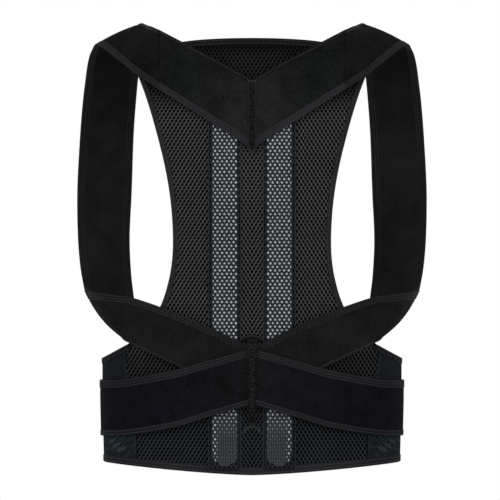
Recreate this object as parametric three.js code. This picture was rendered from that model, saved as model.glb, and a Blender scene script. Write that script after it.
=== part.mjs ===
import * as THREE from 'three';

// Posture corrector: a mesh back panel with two stays, a V yoke, two shoulder straps that go over
// the shoulders and back under the arms, and a waist band with side elastics and two cross belts.
// Millimetres. +Z is up, +X is the wearer's right side, the back of the wearer faces -Y.
// The origin lies midway between the shoulders, under the straps where they sit.

// Clearances between pieces
const GAP = 0.3;              // between pieces that are sewn edge to edge
const LAYER_GAP = 0.4;        // between cloth layers that lie on each other
const TAPE_GAP = 0.6;         // between a strap's or belt's cloth and the tapes along its edges

// Body form that the cloth keeps
const WAIST_HALF_WIDTH = 158.5;   // outside of the waist band to the centre line
const CHEST_HALF_WIDTH = 190;     // body half width at shoulder height
const BACK_DEPTH = 118;           // deepest place of the back behind the shoulder line
const FRONT_DEPTH = 112;          // front of the waist band ahead of the shoulder line
const BODY_SQUARENESS = 2.4;      // exponent of the plan curve, 2 is an ellipse

// Back panel
const PANEL_DROP = 14;            // top edge below the shoulder line, on the centre line
const PANEL_HEIGHT = 458;         // top edge to hem on the centre line
const PANEL_WALL = 3;
const PANEL_TOP_HALF = 107;       // half width of the top edge
const TOP_ARCH = 20;              // top edge falls this much to its ends
const ARMHOLE_DROP = 54;          // upper end of the armhole below the shoulder line
const SEAM_HALF_TOP = 133.3;      // side seam to the centre line, at the top of the waist band
const SEAM_HALF_HEM = 121.8;      // the same at the hem
const HEM_ARCH = 14;              // hem rises this much to the sides
const WAIST_SIDE_FALL = 15.5;     // waist band's top edge falls this much to the side
const WAIST_RISE = 5;             // waist band's upper corner above the crossing of the straps

// Edge tapes
const TOP_TAPE = 7.3;
const ARMHOLE_TAPE = 5.8;
const WAIST_TAPE = 7.3;
const HEM_TAPE = 8.4;
const STRAP_TAPE_WIDE = 8.4;
const STRAP_TAPE_SLIM = 4.2;
const BELT_TAPE_TOP = 8.4;
const BELT_TAPE_FOOT = 6.3;
const TAPE_WALL = 2.4;            // tape folded over a strap or a belt
const EDGE_TAPE_PROUD = 0.8;      // tape stands this much proud of each face of the panel

// Stays and their net sleeves
const STAY_WIDTH = 25.2;
const STAY_WALL = 1;
const STAY_SPACING = 56.7;        // centre to centre
const STAY_TOP_DROP = 74;         // upper end below the shoulder line
const STAY_FOOT_RISE = 10;        // lower end above the hem
const SLEEVE_WIDTH = 36;
const SLEEVE_WALL = 1;
const SLEEVE_SPARE = 1.2;         // sleeve runs on past the stay's ends

// Yoke
const YOKE_DROP = 57.7;           // its upper edges meet this far below the shoulder line
const YOKE_RISE = 51.4;           // upper edge climbs this much to the seam
const YOKE_REACH = 96.6;          // centre line to the seam with the shoulder strap
const YOKE_CENTRE_HEIGHT = 73;
const YOKE_SEAM_HEIGHT = 61.8;

// Shoulder straps
const STRAP_WIDTH = 60;
const STRAP_WALL = 2;
const LOOP_SPREAD = 185.5;        // outermost place of a strap's loop edge to the centre line
const LOOP_DEPTH = 105;           // strap ahead of the shoulder line on the chest
const CROSS_SHARE = 0.74;         // crossing of the straps below the shoulder line, of PANEL_HEIGHT
const CROSS_GAP = 1;              // strap, yoke and belt ends to the centre line

// Cross belts
const BELT_WIDTH = 57.5;
const BELT_WALL = 1.8;
const BELT_FALL = 33;             // belts fall this much from the centre to the side
const BELT_FRONT_STOP = 62;       // belt ends ahead, to the centre line

// Centre strips
const SEAM_STRIP_WIDTH = 8.4;
const LOOP_STRIP_WIDTH = 11.6;
const STRIP_WALL = 1;
const LOOP_STRIP_OVER = 10;       // loop strip reaches above the crossing
const LOOP_STRIP_UNDER = 24;      // and below the belts

// Side elastics and front
const ELASTIC_WALL = 2.5;
const ELASTIC_END = 115;          // degrees round the body from the back to the front panels
const FRONT_WALL = 2.5;
const FRONT_LAP = 35;             // each front panel passes the centre line by this much
const PATCH_WIDTH = 56;
const PATCH_HEIGHT = 84;
const PATCH_WALL = 1.5;

// Distance of each layer's inner face from the panel's outer face
const STAY_LAYER = LAYER_GAP;
const SLEEVE_LAYER = STAY_LAYER + STAY_WALL + GAP;
const STRAP_LAYER = SLEEVE_LAYER + SLEEVE_WALL + LAYER_GAP;
const BELT_LAYER = STRAP_LAYER + TAPE_WALL + LAYER_GAP;
const LOOP_LAYER = BELT_LAYER + TAPE_WALL + LAYER_GAP;
const SIDE_LAYER = GAP + LAYER_GAP;

// Levels that several pieces share
const HEM_Z = -(PANEL_DROP + PANEL_HEIGHT);
const CROSS_DROP = CROSS_SHARE * PANEL_HEIGHT;
const WAIST_Z = -(CROSS_DROP - WAIST_RISE);
const FRONT_TOP_Z = WAIST_Z - WAIST_SIDE_FALL;
const RING_STEP = THREE.MathUtils.degToRad(5);
const STEP_SPARE = 0.35;          // least distance of a piece's end to a shared step, of RING_STEP
const SLOPE_STEP = 0.01;          // share of the armhole's height over which its slope is taken
const TAPE_FOOT_SHARE = 0.004;    // armhole tapes start this share above the waist tapes

// How the edges and layers bend
const HEM_CURVE = 1.4;            // exponents of the hem and of the top edge
const TOP_CURVE = 2.4;
const SEAM_SWING_FROM = 0.25;     // side seam swings out between these shares of its height
const SEAM_SWING_TO = 0.8;
const BELT_SETTLE_FROM = 0.5;     // belts come down to the elastics between these shares out
const BELT_SETTLE_TO = 0.93;
const BELT_LEVEL_FROM = 0.6;      // from here out the belts turn level
const LOOP_RAMP = 0.8;            // share of each end of the loop strip that climbs
const SEAM_ROWS = [0, 0.17, 0.34, 0.5, 0.66, 0.83, 1];

// Back of the body from the hem up. up: share of the height from hem to shoulder line,
// deep: share of BACK_DEPTH, wide: share of the way from the waist's to the chest's half width,
// negative where the hem is slimmer.
const BODY = [
  { up: 0.00, deep: 0.95, wide: -0.09 },
  { up: 0.16, deep: 0.88, wide: -0.03 },
  { up: 0.29, deep: 0.86, wide: 0.00 },
  { up: 0.43, deep: 0.91, wide: 0.25 },
  { up: 0.61, deep: 1.00, wide: 0.65 },
  { up: 0.75, deep: 0.99, wide: 0.90 },
  { up: 0.88, deep: 0.88, wide: 1.00 },
  { up: 0.97, deep: 0.73, wide: 1.00 },
  { up: 1.05, deep: 0.55, wide: 1.00 },
];

// Armhole edge from the waist band's corner up to the strap. up: share of the armhole's height,
// half: share of SEAM_HALF_TOP from the centre line to the outer edge of the tape.
const ARMHOLE = [
  { up: 0.000, half: 0.968 },
  { up: 0.035, half: 0.885 },
  { up: 0.075, half: 0.805 },
  { up: 0.115, half: 0.748 },
  { up: 0.155, half: 0.708 },
  { up: 0.205, half: 0.673 },
  { up: 0.275, half: 0.640 },
  { up: 0.355, half: 0.624 },
  { up: 0.455, half: 0.628 },
  { up: 0.555, half: 0.648 },
  { up: 0.655, half: 0.684 },
  { up: 0.755, half: 0.734 },
  { up: 0.855, half: 0.792 },
  { up: 0.935, half: 0.846 },
  { up: 1.000, half: 0.898 },
];

// Belt's top edge. out: share of the body's half width, fall: share of BELT_FALL.
const BELT_EDGE = [
  { out: 0.00, fall: 0.00 },
  { out: 0.28, fall: 0.38 },
  { out: 0.47, fall: 0.61 },
  { out: 0.60, fall: 0.73 },
  { out: 0.74, fall: 0.86 },
  { out: 0.88, fall: 0.96 },
  { out: 1.00, fall: 1.00 },
];

// Strap from the yoke seam over the shoulder, down the chest, back under the arm and along the
// back to the crossing. x, y, z: place of the edge round the arm, as shares of LOOP_SPREAD,
// LOOP_DEPTH and CROSS_DROP. ax, ay, az: from that edge to the other one, as shares of
// STRAP_WIDTH. hug: 1 where the strap lies on the body form, 0 where it stands free. bow: how far
// its middle bulges outward, as a share of STRAP_WIDTH.
const STRAP = [
  { at: 'behind_shoulder', x: 0.651, y: -0.82, z: -0.155, ax: -0.26, ay: 0.78, az: 0.82, hug: 0.35, bow: 0 },
  { at: 'shoulder_rise', x: 0.764, y: -0.52, z: -0.108, ax: -0.53, ay: 0.70, az: 0.60, hug: 0, bow: 0.02 },
  { at: 'shoulder_ridge', x: 0.872, y: -0.13, z: -0.065, ax: -0.77, ay: 0.47, az: 0.385, hug: 0, bow: 0.04 },
  { at: 'collar', x: 0.908, y: 0.18, z: -0.080, ax: -0.87, ay: 0.39, az: 0.36, hug: 0, bow: 0.03 },
  { at: 'chest_top', x: 0.932, y: 0.43, z: -0.115, ax: -0.93, ay: 0.35, az: 0.315, hug: 0, bow: 0.02 },
  { at: 'chest_upper', x: 0.951, y: 0.65, z: -0.177, ax: -0.953, ay: 0.27, az: 0.28, hug: 0, bow: 0 },
  { at: 'chest_swell', x: 0.968, y: 0.80, z: -0.248, ax: -0.953, ay: 0.20, az: 0.175, hug: 0, bow: 0 },
  { at: 'chest', x: 0.985, y: 0.93, z: -0.356, ax: -0.953, ay: 0.13, az: 0.09, hug: 0, bow: 0 },
  { at: 'chest_full', x: 1.000, y: 0.99, z: -0.510, ax: -0.965, ay: 0.10, az: 0.00, hug: 0, bow: 0 },
  { at: 'chest_lower', x: 0.996, y: 0.93, z: -0.650, ax: -0.917, ay: 0.13, az: -0.05, hug: 0, bow: 0 },
  { at: 'under_chest', x: 0.980, y: 0.76, z: -0.743, ax: -0.90, ay: 0.23, az: -0.175, hug: 0, bow: 0 },
  { at: 'turn_start', x: 0.960, y: 0.53, z: -0.796, ax: -0.90, ay: 0.33, az: -0.40, hug: 0, bow: 0.04 },
  { at: 'turn_front', x: 0.949, y: 0.28, z: -0.814, ax: -0.84, ay: 0.27, az: -0.65, hug: 0, bow: 0.08 },
  { at: 'turn', x: 0.942, y: 0.00, z: -0.820, ax: -0.735, ay: 0.10, az: -0.835, hug: 0, bow: 0.1 },
  { at: 'turn_back', x: 0.916, y: -0.33, z: -0.824, ax: -0.64, ay: 0.00, az: -0.84, hug: 0, bow: 0.1 },
  { at: 'under_arm', x: 0.855, y: -0.62, z: -0.829, ax: -0.468, ay: -0.035, az: -0.84, hug: 0, bow: 0.07 },
  { at: 'side_back', x: 0.764, y: -0.74, z: -0.836, ax: -0.377, ay: -0.05, az: -0.90, hug: 0, bow: 0.03 },
  { at: 'back_landing', x: 0.664, y: -0.82, z: -0.845, ax: -0.287, ay: 0.00, az: -0.965, hug: 0.6, bow: 0 },
  { at: 'over_armhole', x: 0.515, y: -0.90, z: -0.872, ax: -0.193, ay: 0.00, az: -0.985, hug: 1, bow: 0 },
  { at: 'over_panel', x: 0.350, y: -0.95, z: -0.908, ax: -0.12, ay: 0.00, az: -1.00, hug: 1, bow: 0 },
  { at: 'over_stay', x: 0.217, y: -0.97, z: -0.940, ax: -0.077, ay: 0.00, az: -1.02, hug: 1, bow: 0 },
];
const CROSS_SPAN = 0.965;         // cut end of a strap at the crossing, share of STRAP_WIDTH

const lerp = THREE.MathUtils.lerp;
const clamp = THREE.MathUtils.clamp;
const smoothstep = THREE.MathUtils.smoothstep;

// Smooth curve through one column of a table whose rows are ordered by the key column.
function follow(rows, key, column, at) {
  const last = rows.length - 1;
  let i = 0;
  while (i < last - 1 && at > rows[i + 1][key]) i += 1;
  const slope = (k) => {
    const a = rows[Math.max(0, k - 1)];
    const b = rows[Math.min(last, k + 1)];
    return (b[column] - a[column]) / (b[key] - a[key]);
  };
  const from = rows[i];
  const to = rows[i + 1];
  const span = to[key] - from[key];
  const t = clamp((at - from[key]) / span, 0, 1);
  const t2 = t * t;
  const t3 = t2 * t;
  return (2 * t3 - 3 * t2 + 1) * from[column] + (t3 - 2 * t2 + t) * span * slope(i)
    + (3 * t2 - 2 * t3) * to[column] + (t3 - t2) * span * slope(i + 1);
}

// Half width and back depth of the body at a height.
function bodyAt(z) {
  const up = 1 - z / HEM_Z;
  return {
    half: lerp(WAIST_HALF_WIDTH, CHEST_HALF_WIDTH, follow(BODY, 'up', 'wide', up)),
    back: BACK_DEPTH * follow(BODY, 'up', 'deep', up),
  };
}

// Point on the body's plan curve at an angle from the back's centre line, off outside the form.
function ringPoint(angle, z, off) {
  const { half, back } = bodyAt(z);
  const depth = Math.cos(angle) > 0 ? back : FRONT_DEPTH;
  const power = 2 / BODY_SQUARENESS;
  const sx = Math.sin(angle);
  const sy = -Math.cos(angle);
  const ux = Math.sign(sx) * Math.abs(sx) ** power;
  const uy = Math.sign(sy) * Math.abs(sy) ** power;
  const nx = Math.sign(ux) * Math.abs(ux) ** (BODY_SQUARENESS - 1) / half;
  const ny = Math.sign(uy) * Math.abs(uy) ** (BODY_SQUARENESS - 1) / depth;
  const length = Math.hypot(nx, ny);
  return new THREE.Vector3(half * ux + off * nx / length, depth * uy + off * ny / length, z);
}

// Angle on the plan curve of a distance from the centre line, on the back.
function angleOf(x, z) {
  const share = clamp(Math.abs(x) / bodyAt(z).half, 0, 1);
  return Math.sign(x) * Math.asin(share ** (BODY_SQUARENESS / 2));
}

function backPoint(x, z, off) {
  return ringPoint(angleOf(x, z), z, off);
}

// Share of the half width that an angle reaches, 1 from the side on.
function reachOf(angle) {
  return Math.abs(angle) >= Math.PI / 2 ? 1 : Math.abs(Math.sin(angle)) ** (2 / BODY_SQUARENESS);
}

// Lowest edge of the waist band at a share of the half width.
function hemAt(reach) {
  return HEM_Z + HEM_ARCH * clamp(reach, 0, 1) ** HEM_CURVE;
}

// Upper edge of the waist band, from the armhole's foot to the side.
function waistTopAt(reach) {
  const corner = ARMHOLE[0].half * SEAM_HALF_TOP / WAIST_HALF_WIDTH;
  return WAIST_Z - WAIST_SIDE_FALL * clamp((reach - corner) / (1 - corner), 0, 1);
}

// Closed sheet: point(u, v, off) gives its faces on a grid, from off = inner to off = outer.
// u runs towards the wearer's right or along a strap, v runs across, and u cross v points out.
function closedSheet(us, vs, point, inner, outer, mirrored) {
  const positions = [];
  const rows = vs.length;
  const place = (p) => positions.push(mirrored ? -p.x : p.x, p.y, p.z);
  for (const off of [inner, outer]) {
    for (const u of us) {
      for (const v of vs) place(point(u, v, off));
    }
  }
  const half = us.length * rows;
  const index = [];
  const quad = (a, b, c, d) => {
    if (mirrored) index.push(a, c, b, a, d, c);
    else index.push(a, b, c, a, c, d);
  };
  const at = (i, j) => i * rows + j;
  const lastU = us.length - 1;
  const lastV = rows - 1;
  for (let i = 0; i < lastU; i += 1) {
    for (let j = 0; j < lastV; j += 1) {
      quad(half + at(i, j), half + at(i + 1, j), half + at(i + 1, j + 1), half + at(i, j + 1));
      quad(at(i, j), at(i, j + 1), at(i + 1, j + 1), at(i + 1, j));
    }
    quad(at(i, 0), at(i + 1, 0), half + at(i + 1, 0), half + at(i, 0));
    quad(at(i + 1, lastV), at(i, lastV), half + at(i, lastV), half + at(i + 1, lastV));
  }
  for (let j = 0; j < lastV; j += 1) {
    quad(at(0, j + 1), at(0, j), half + at(0, j), half + at(0, j + 1));
    quad(at(lastU, j), at(lastU, j + 1), half + at(lastU, j + 1), half + at(lastU, j));
  }
  const geometry = new THREE.BufferGeometry();
  geometry.setAttribute('position', new THREE.Float32BufferAttribute(positions, 3));
  geometry.setIndex(index);
  geometry.computeVertexNormals();
  return geometry;
}

// Evenly spaced values, both ends included.
function even(from, to, steps) {
  return Array.from({ length: steps + 1 }, (_, i) => lerp(from, to, i / steps));
}

// Angles on the shared steps round the body, with the piece's own two ends.
function ringSteps(from, to) {
  const steps = [from];
  for (let k = Math.ceil(from / RING_STEP + STEP_SPARE); k * RING_STEP < to - STEP_SPARE * RING_STEP; k += 1) {
    steps.push(k * RING_STEP);
  }
  steps.push(to);
  return steps;
}

const materials = {
  net: { color: 0x242527, roughness: 0.9, metalness: 0 },
  tape: { color: 0x1f1d24, roughness: 0.8, metalness: 0 },
  stay: { color: 0x8d9296, roughness: 0.5, metalness: 0 },
  brushed: { color: 0x1c1e1d, roughness: 0.95, metalness: 0 },
  strap: { color: 0x161616, roughness: 0.9, metalness: 0 },
  belt: { color: 0x131216, roughness: 0.85, metalness: 0 },
  elastic: { color: 0x171b20, roughness: 0.8, metalness: 0 },
};

const corrector = new THREE.Group();
corrector.name = 'posture_corrector';

function add(name, geometry, finish) {
  const mesh = new THREE.Mesh(geometry, new THREE.MeshStandardMaterial(materials[finish]));
  mesh.name = name;
  corrector.add(mesh);
}

// Adds a piece on both sides, worked out for the right one.
function addPair(name, finish, us, vs, point, inner, outer) {
  add(`${name}_right`, closedSheet(us, vs, point, inner, outer, false), finish);
  add(`${name}_left`, closedSheet(us, vs, point, inner, outer, true), finish);
}

// Side seam between panel and elastic, up: 0 at the hem, 1 at the waist band's top.
function seamHalf(up) {
  return lerp(SEAM_HALF_HEM, SEAM_HALF_TOP, smoothstep(up, SEAM_SWING_FROM, SEAM_SWING_TO));
}

// Outer edge of the armhole tape at a height share of the armhole.
function armholeHalf(up) {
  return SEAM_HALF_TOP * follow(ARMHOLE, 'up', 'half', up);
}

function armholeZ(up) {
  return lerp(WAIST_Z, -ARMHOLE_DROP, up);
}

// How far the armhole tape reaches inward, measured level, where its edge slants.
function tapeLevel(up) {
  const above = Math.min(up + SLOPE_STEP, 1);
  const below = Math.max(up - SLOPE_STEP, 0);
  const rise = armholeZ(above) - armholeZ(below);
  const run = armholeHalf(above) - armholeHalf(below);
  return ARMHOLE_TAPE * Math.hypot(1, run / rise);
}

// Top edge of the panel at a distance from the centre line.
function topEdge(x) {
  return -PANEL_DROP - TOP_ARCH * (Math.abs(x) / PANEL_TOP_HALF) ** TOP_CURVE;
}

// The panel's rows: half width of the net and its height at the side.
function panelRows() {
  const rows = [];
  const seamReach = SEAM_HALF_TOP / WAIST_HALF_WIDTH;
  const waistFoot = hemAt(seamHalf(0) / WAIST_HALF_WIDTH) + HEM_TAPE + GAP;
  const waistHead = waistTopAt(seamReach) - WAIST_TAPE - GAP;
  for (const up of SEAM_ROWS) {
    rows.push({ half: seamHalf(up) - GAP, z: lerp(waistFoot, waistHead, up) });
  }
  const corner = armholeHalf(0) - GAP;
  rows.push({ half: corner, z: WAIST_Z - WAIST_TAPE - GAP });
  for (const { up } of ARMHOLE) {
    rows.push({ half: armholeHalf(up) - tapeLevel(up) - GAP, z: armholeZ(up) });
  }
  const shoulder = PANEL_TOP_HALF - ARMHOLE_TAPE;
  rows.push({ half: shoulder, z: topEdge(shoulder) - TOP_TAPE - GAP });
  return rows;
}

function backPanel() {
  const rows = panelRows();
  const last = rows.length - 1;
  const waistRows = SEAM_ROWS.length - 1;
  const topRows = 5;
  const point = (u, v, off) => {
    const { half, z: side } = rows[v];
    const x = u * half;
    let z = side;
    if (v < waistRows) {
      const foot = hemAt(Math.abs(x) / WAIST_HALF_WIDTH) - hemAt(half / WAIST_HALF_WIDTH);
      z += foot * (1 - v / waistRows);
    }
    if (v > last - topRows) {
      z += (topEdge(x) - topEdge(half)) * (v - last + topRows) / topRows;
    }
    return backPoint(x, z, off);
  };
  const steps = 16;
  const us = even(-1, 1, steps).map((s) => 0.55 * s + 0.45 * Math.sin(s * Math.PI / 2));
  const vs = rows.map((_, i) => i);
  add('back_panel', closedSheet(us, vs, point, -PANEL_WALL, 0, false), 'net');
}

// Tapes round the panel. Each is a strip whose v runs from its lower to its upper edge.
function panelTapes() {
  const inner = -PANEL_WALL - EDGE_TAPE_PROUD;
  const outer = EDGE_TAPE_PROUD;
  const topTape = (x, v, off) => backPoint(x, topEdge(x) - TOP_TAPE * (1 - v), off);
  const topHalf = PANEL_TOP_HALF - ARMHOLE_TAPE;
  add('top_tape', closedSheet(even(-topHalf, topHalf, 16), [0, 1], topTape, inner, outer, false),
    'tape');
  const armhole = (u, v, off) => {
    const outEdge = armholeHalf(v);
    return backPoint(outEdge - (1 - u) * tapeLevel(v), armholeZ(v), off);
  };
  const ups = ARMHOLE.map(({ up }) => Math.max(up, TAPE_FOOT_SHARE));
  addPair('armhole_tape', 'tape', [0, 1], ups, armhole, inner, outer);
  const start = angleOf(armholeHalf(0), WAIST_Z);
  const end = THREE.MathUtils.degToRad(ELASTIC_END);
  const waist = (angle, v, off) =>
    ringPoint(angle, waistTopAt(reachOf(angle)) - WAIST_TAPE * (1 - v), off);
  addPair('waist_tape', 'tape', ringSteps(start, end), [0, 1], waist, inner, outer);
  const hem = (angle, v, off) => ringPoint(angle, hemAt(reachOf(angle)) + HEM_TAPE * v, off);
  add('hem_tape', closedSheet(ringSteps(-end, end), [0, 1], hem, inner, outer, false), 'tape');
}

function sideElastics() {
  const end = THREE.MathUtils.degToRad(ELASTIC_END);
  const point = (u, v, off) => {
    const x = seamHalf(v);
    const reach = x / WAIST_HALF_WIDTH;
    const seamZ = lerp(hemAt(reach) + HEM_TAPE, waistTopAt(reach) - WAIST_TAPE, v);
    const start = angleOf(x + GAP, seamZ);
    const angle = u <= 0 ? start : Math.max(start, u);
    const here = reachOf(angle);
    const foot = hemAt(here) + HEM_TAPE + GAP;
    const head = waistTopAt(here) - WAIST_TAPE - GAP;
    return ringPoint(angle, lerp(foot, head, v), off);
  };
  const first = Math.ceil(angleOf(SEAM_HALF_TOP, WAIST_Z) / RING_STEP + STEP_SPARE) * RING_STEP;
  const us = [0, ...ringSteps(first, end)];
  addPair('side_elastic', 'elastic', us, SEAM_ROWS, point, -ELASTIC_WALL, 0);
}

// The front panels lap over each other, the right one outside.
function frontPanels() {
  const start = THREE.MathUtils.degToRad(ELASTIC_END);
  const lapAngle = Math.asin((FRONT_LAP / WAIST_HALF_WIDTH) ** (BODY_SQUARENESS / 2));
  const end = Math.PI + lapAngle;
  const edge = GAP / WAIST_HALF_WIDTH;
  const foot = hemAt(1);
  const point = (lift) => (angle, v, off) => {
    const z = lerp(foot, FRONT_TOP_Z, v);
    const raised = lift * (1 - smoothstep(ringPoint(angle, z, 0).x, FRONT_LAP, BELT_FRONT_STOP));
    return ringPoint(angle, z, off + raised);
  };
  const us = ringSteps(start + edge * 2, end);
  const vs = even(0, 1, 3);
  const lift = FRONT_WALL + LAYER_GAP;
  add('front_panel_left', closedSheet(us, vs, point(0), -FRONT_WALL, 0, true), 'brushed');
  add('front_panel_right', closedSheet(us, vs, point(lift), -FRONT_WALL, 0, false), 'brushed');
  const patch = new THREE.BoxGeometry(PATCH_WIDTH, PATCH_WALL, PATCH_HEIGHT);
  const patchY = FRONT_DEPTH + lift + GAP + PATCH_WALL / 2;
  patch.translate(0, patchY, (foot + FRONT_TOP_Z) / 2);
  add('front_patch', patch, 'belt');
}

function stays() {
  const centre = STAY_SPACING / 2;
  const foot = HEM_Z + STAY_FOOT_RISE;
  const head = -STAY_TOP_DROP;
  const radius = STAY_WIDTH / 2;
  const level = (v) => lerp(foot, head, v);
  const roundness = (z) => {
    const past = Math.max(foot + radius - z, z - (head - radius), 0) / radius;
    return Math.sqrt(Math.max(1 - past * past, 0.04));
  };
  const ends = [0.02, 0.12, 0.35, 0.65, 1].map((s) => s * radius / (head - foot));
  const middle = even(ends[4], 1 - ends[4], 18).slice(1, -1);
  const vs = [...ends, ...middle, ...ends.map((s) => 1 - s).reverse()];
  const stay = (u, v, off) => {
    const z = level(v);
    return backPoint(centre + u * radius * roundness(z), z, off);
  };
  addPair('stay', 'stay', [-1, 1], vs, stay, STAY_LAYER, STAY_LAYER + STAY_WALL);
  const hemTop = hemAt((centre - SLEEVE_WIDTH / 2) / WAIST_HALF_WIDTH) + HEM_TAPE;
  const sleeveFoot = Math.min(foot - SLEEVE_SPARE, hemTop);
  const sleeveHead = head + SLEEVE_SPARE;
  const sleeve = (u, v, off) =>
    backPoint(centre + u * SLEEVE_WIDTH / 2, lerp(sleeveFoot, sleeveHead, v), off);
  const top = SLEEVE_LAYER + SLEEVE_WALL;
  addPair('stay_sleeve', 'net', [-1, 0, 1], even(0, 1, 20), sleeve, SLEEVE_LAYER, top);
}

// Upper and lower edge of the yoke at a distance from the centre line.
function yokeUpper(x) {
  return -YOKE_DROP + YOKE_RISE * x / YOKE_REACH;
}

function yokeHeight(x) {
  return lerp(YOKE_CENTRE_HEIGHT, YOKE_SEAM_HEIGHT, x / YOKE_REACH);
}

// Splits a width into edge tape, cloth and edge tape, v 0 to 1, tapes given as lengths.
function bands(width, first, last) {
  return {
    firstTape: [0, first / width],
    cloth: [(first + TAPE_GAP) / width, 0.5, 1 - (last + TAPE_GAP) / width],
    lastTape: [1 - last / width, 1],
  };
}

function yoke() {
  const split = bands(YOKE_SEAM_HEIGHT, STRAP_TAPE_WIDE, STRAP_TAPE_SLIM);
  const point = (x, v, off) =>
    backPoint(x, yokeUpper(x) - yokeHeight(x) * (1 - v), off + STRAP_LAYER);
  const xs = even(CROSS_GAP, YOKE_REACH, 8);
  addPair('yoke', 'brushed', xs, split.cloth, point, 0, STRAP_WALL);
  addPair('yoke_lower_tape', 'tape', xs, split.firstTape, point, 0, TAPE_WALL);
  addPair('yoke_upper_tape', 'tape', xs, split.lastTape, point, 0, TAPE_WALL);
}

// The strap's stations with both seams: edge round the arm, way across, and hug.
function strapStations() {
  const seamX = YOKE_REACH + GAP;
  const seam = {
    edge: new THREE.Vector3(seamX, -BACK_DEPTH, yokeUpper(YOKE_REACH) - YOKE_SEAM_HEIGHT),
    across: new THREE.Vector3(0, 0, YOKE_SEAM_HEIGHT),
    hug: 1,
    bow: 0,
  };
  const free = STRAP.map((row) => ({
    edge: new THREE.Vector3(row.x * LOOP_SPREAD, row.y * LOOP_DEPTH, row.z * CROSS_DROP),
    across: new THREE.Vector3(row.ax, row.ay, row.az).multiplyScalar(STRAP_WIDTH),
    hug: row.hug,
    bow: row.bow,
  }));
  const cross = {
    edge: new THREE.Vector3(CROSS_GAP, -BACK_DEPTH, -CROSS_DROP),
    across: new THREE.Vector3(0, 0, -CROSS_SPAN * STRAP_WIDTH),
    hug: 1,
    bow: 0,
  };
  return [seam, ...free, cross];
}

function shoulderStraps() {
  const stations = strapStations();
  const last = stations.length - 1;
  const edges = new THREE.CatmullRomCurve3(stations.map((s) => s.edge), false, 'catmullrom', 0.5);
  const ways = new THREE.CatmullRomCurve3(stations.map((s) => s.across), false, 'catmullrom', 0.5);
  const shareAt = (key, u) => {
    const i = Math.min(Math.floor(u), last - 1);
    return lerp(stations[i][key], stations[i + 1][key], smoothstep(u - i, 0, 1));
  };
  const base = (u, v) => {
    const t = clamp(u / last, 0, 1);
    const free = edges.getPoint(t).addScaledVector(ways.getPoint(t), v);
    const hug = shareAt('hug', clamp(u, 0, last));
    const laid = hug > 0 ? backPoint(free.x, free.z, STRAP_LAYER) : free;
    return free.lerp(laid, hug);
  };
  const point = (u, v, off) => {
    const p = base(u, v);
    const step = 0.02;
    const alongU = base(Math.min(u + step, last), v).sub(base(Math.max(u - step, 0), v));
    const acrossV = base(u, v + step).sub(base(u, v - step));
    const out = alongU.cross(acrossV).normalize();
    const hug = shareAt('hug', u);
    if (hug > 0) {
      const body = backPoint(p.x, p.z, 1).sub(backPoint(p.x, p.z, 0));
      out.lerp(body, hug).normalize();
    }
    const bow = shareAt('bow', u) * STRAP_WIDTH * 4 * v * (1 - v);
    return p.addScaledVector(out, off + bow);
  };
  const split = bands(STRAP_WIDTH, STRAP_TAPE_WIDE, STRAP_TAPE_SLIM);
  const us = even(0, last, last * 3);
  addPair('shoulder_strap', 'strap', us, split.cloth, point, 0, STRAP_WALL);
  addPair('strap_loop_tape', 'tape', us, split.firstTape, point, 0, TAPE_WALL);
  addPair('strap_outer_tape', 'tape', us, split.lastTape, point, 0, TAPE_WALL);
}

// Height of the belt's top edge, and its own level height where it slants.
function beltTop(angle) {
  return -CROSS_DROP - BELT_FALL * follow(BELT_EDGE, 'out', 'fall', reachOf(angle));
}

// Inner face of a belt: over the strap near the centre, on the elastic at the side.
function beltLayer(angle) {
  return lerp(BELT_LAYER, SIDE_LAYER, smoothstep(reachOf(angle), BELT_SETTLE_FROM, BELT_SETTLE_TO));
}

function crossBelts() {
  const start = angleOf(CROSS_GAP, -CROSS_DROP);
  const stop = (BELT_FRONT_STOP / WAIST_HALF_WIDTH) ** (BODY_SQUARENESS / 2);
  const end = Math.PI - Math.asin(stop);
  const split = bands(BELT_WIDTH, BELT_TAPE_FOOT, BELT_TAPE_TOP);
  const point = (angle, v, off) => {
    const slant = BELT_FALL / WAIST_HALF_WIDTH * (1 - smoothstep(reachOf(angle), BELT_LEVEL_FROM, 1));
    const level = BELT_WIDTH * Math.hypot(1, slant);
    return ringPoint(angle, beltTop(angle) - level * (1 - v), off + beltLayer(angle));
  };
  const us = ringSteps(start, end);
  addPair('cross_belt', 'belt', us, split.cloth, point, 0, BELT_WALL);
  addPair('belt_lower_tape', 'tape', us, split.firstTape, point, 0, TAPE_WALL);
  addPair('belt_upper_tape', 'tape', us, split.lastTape, point, 0, TAPE_WALL);
}

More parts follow.
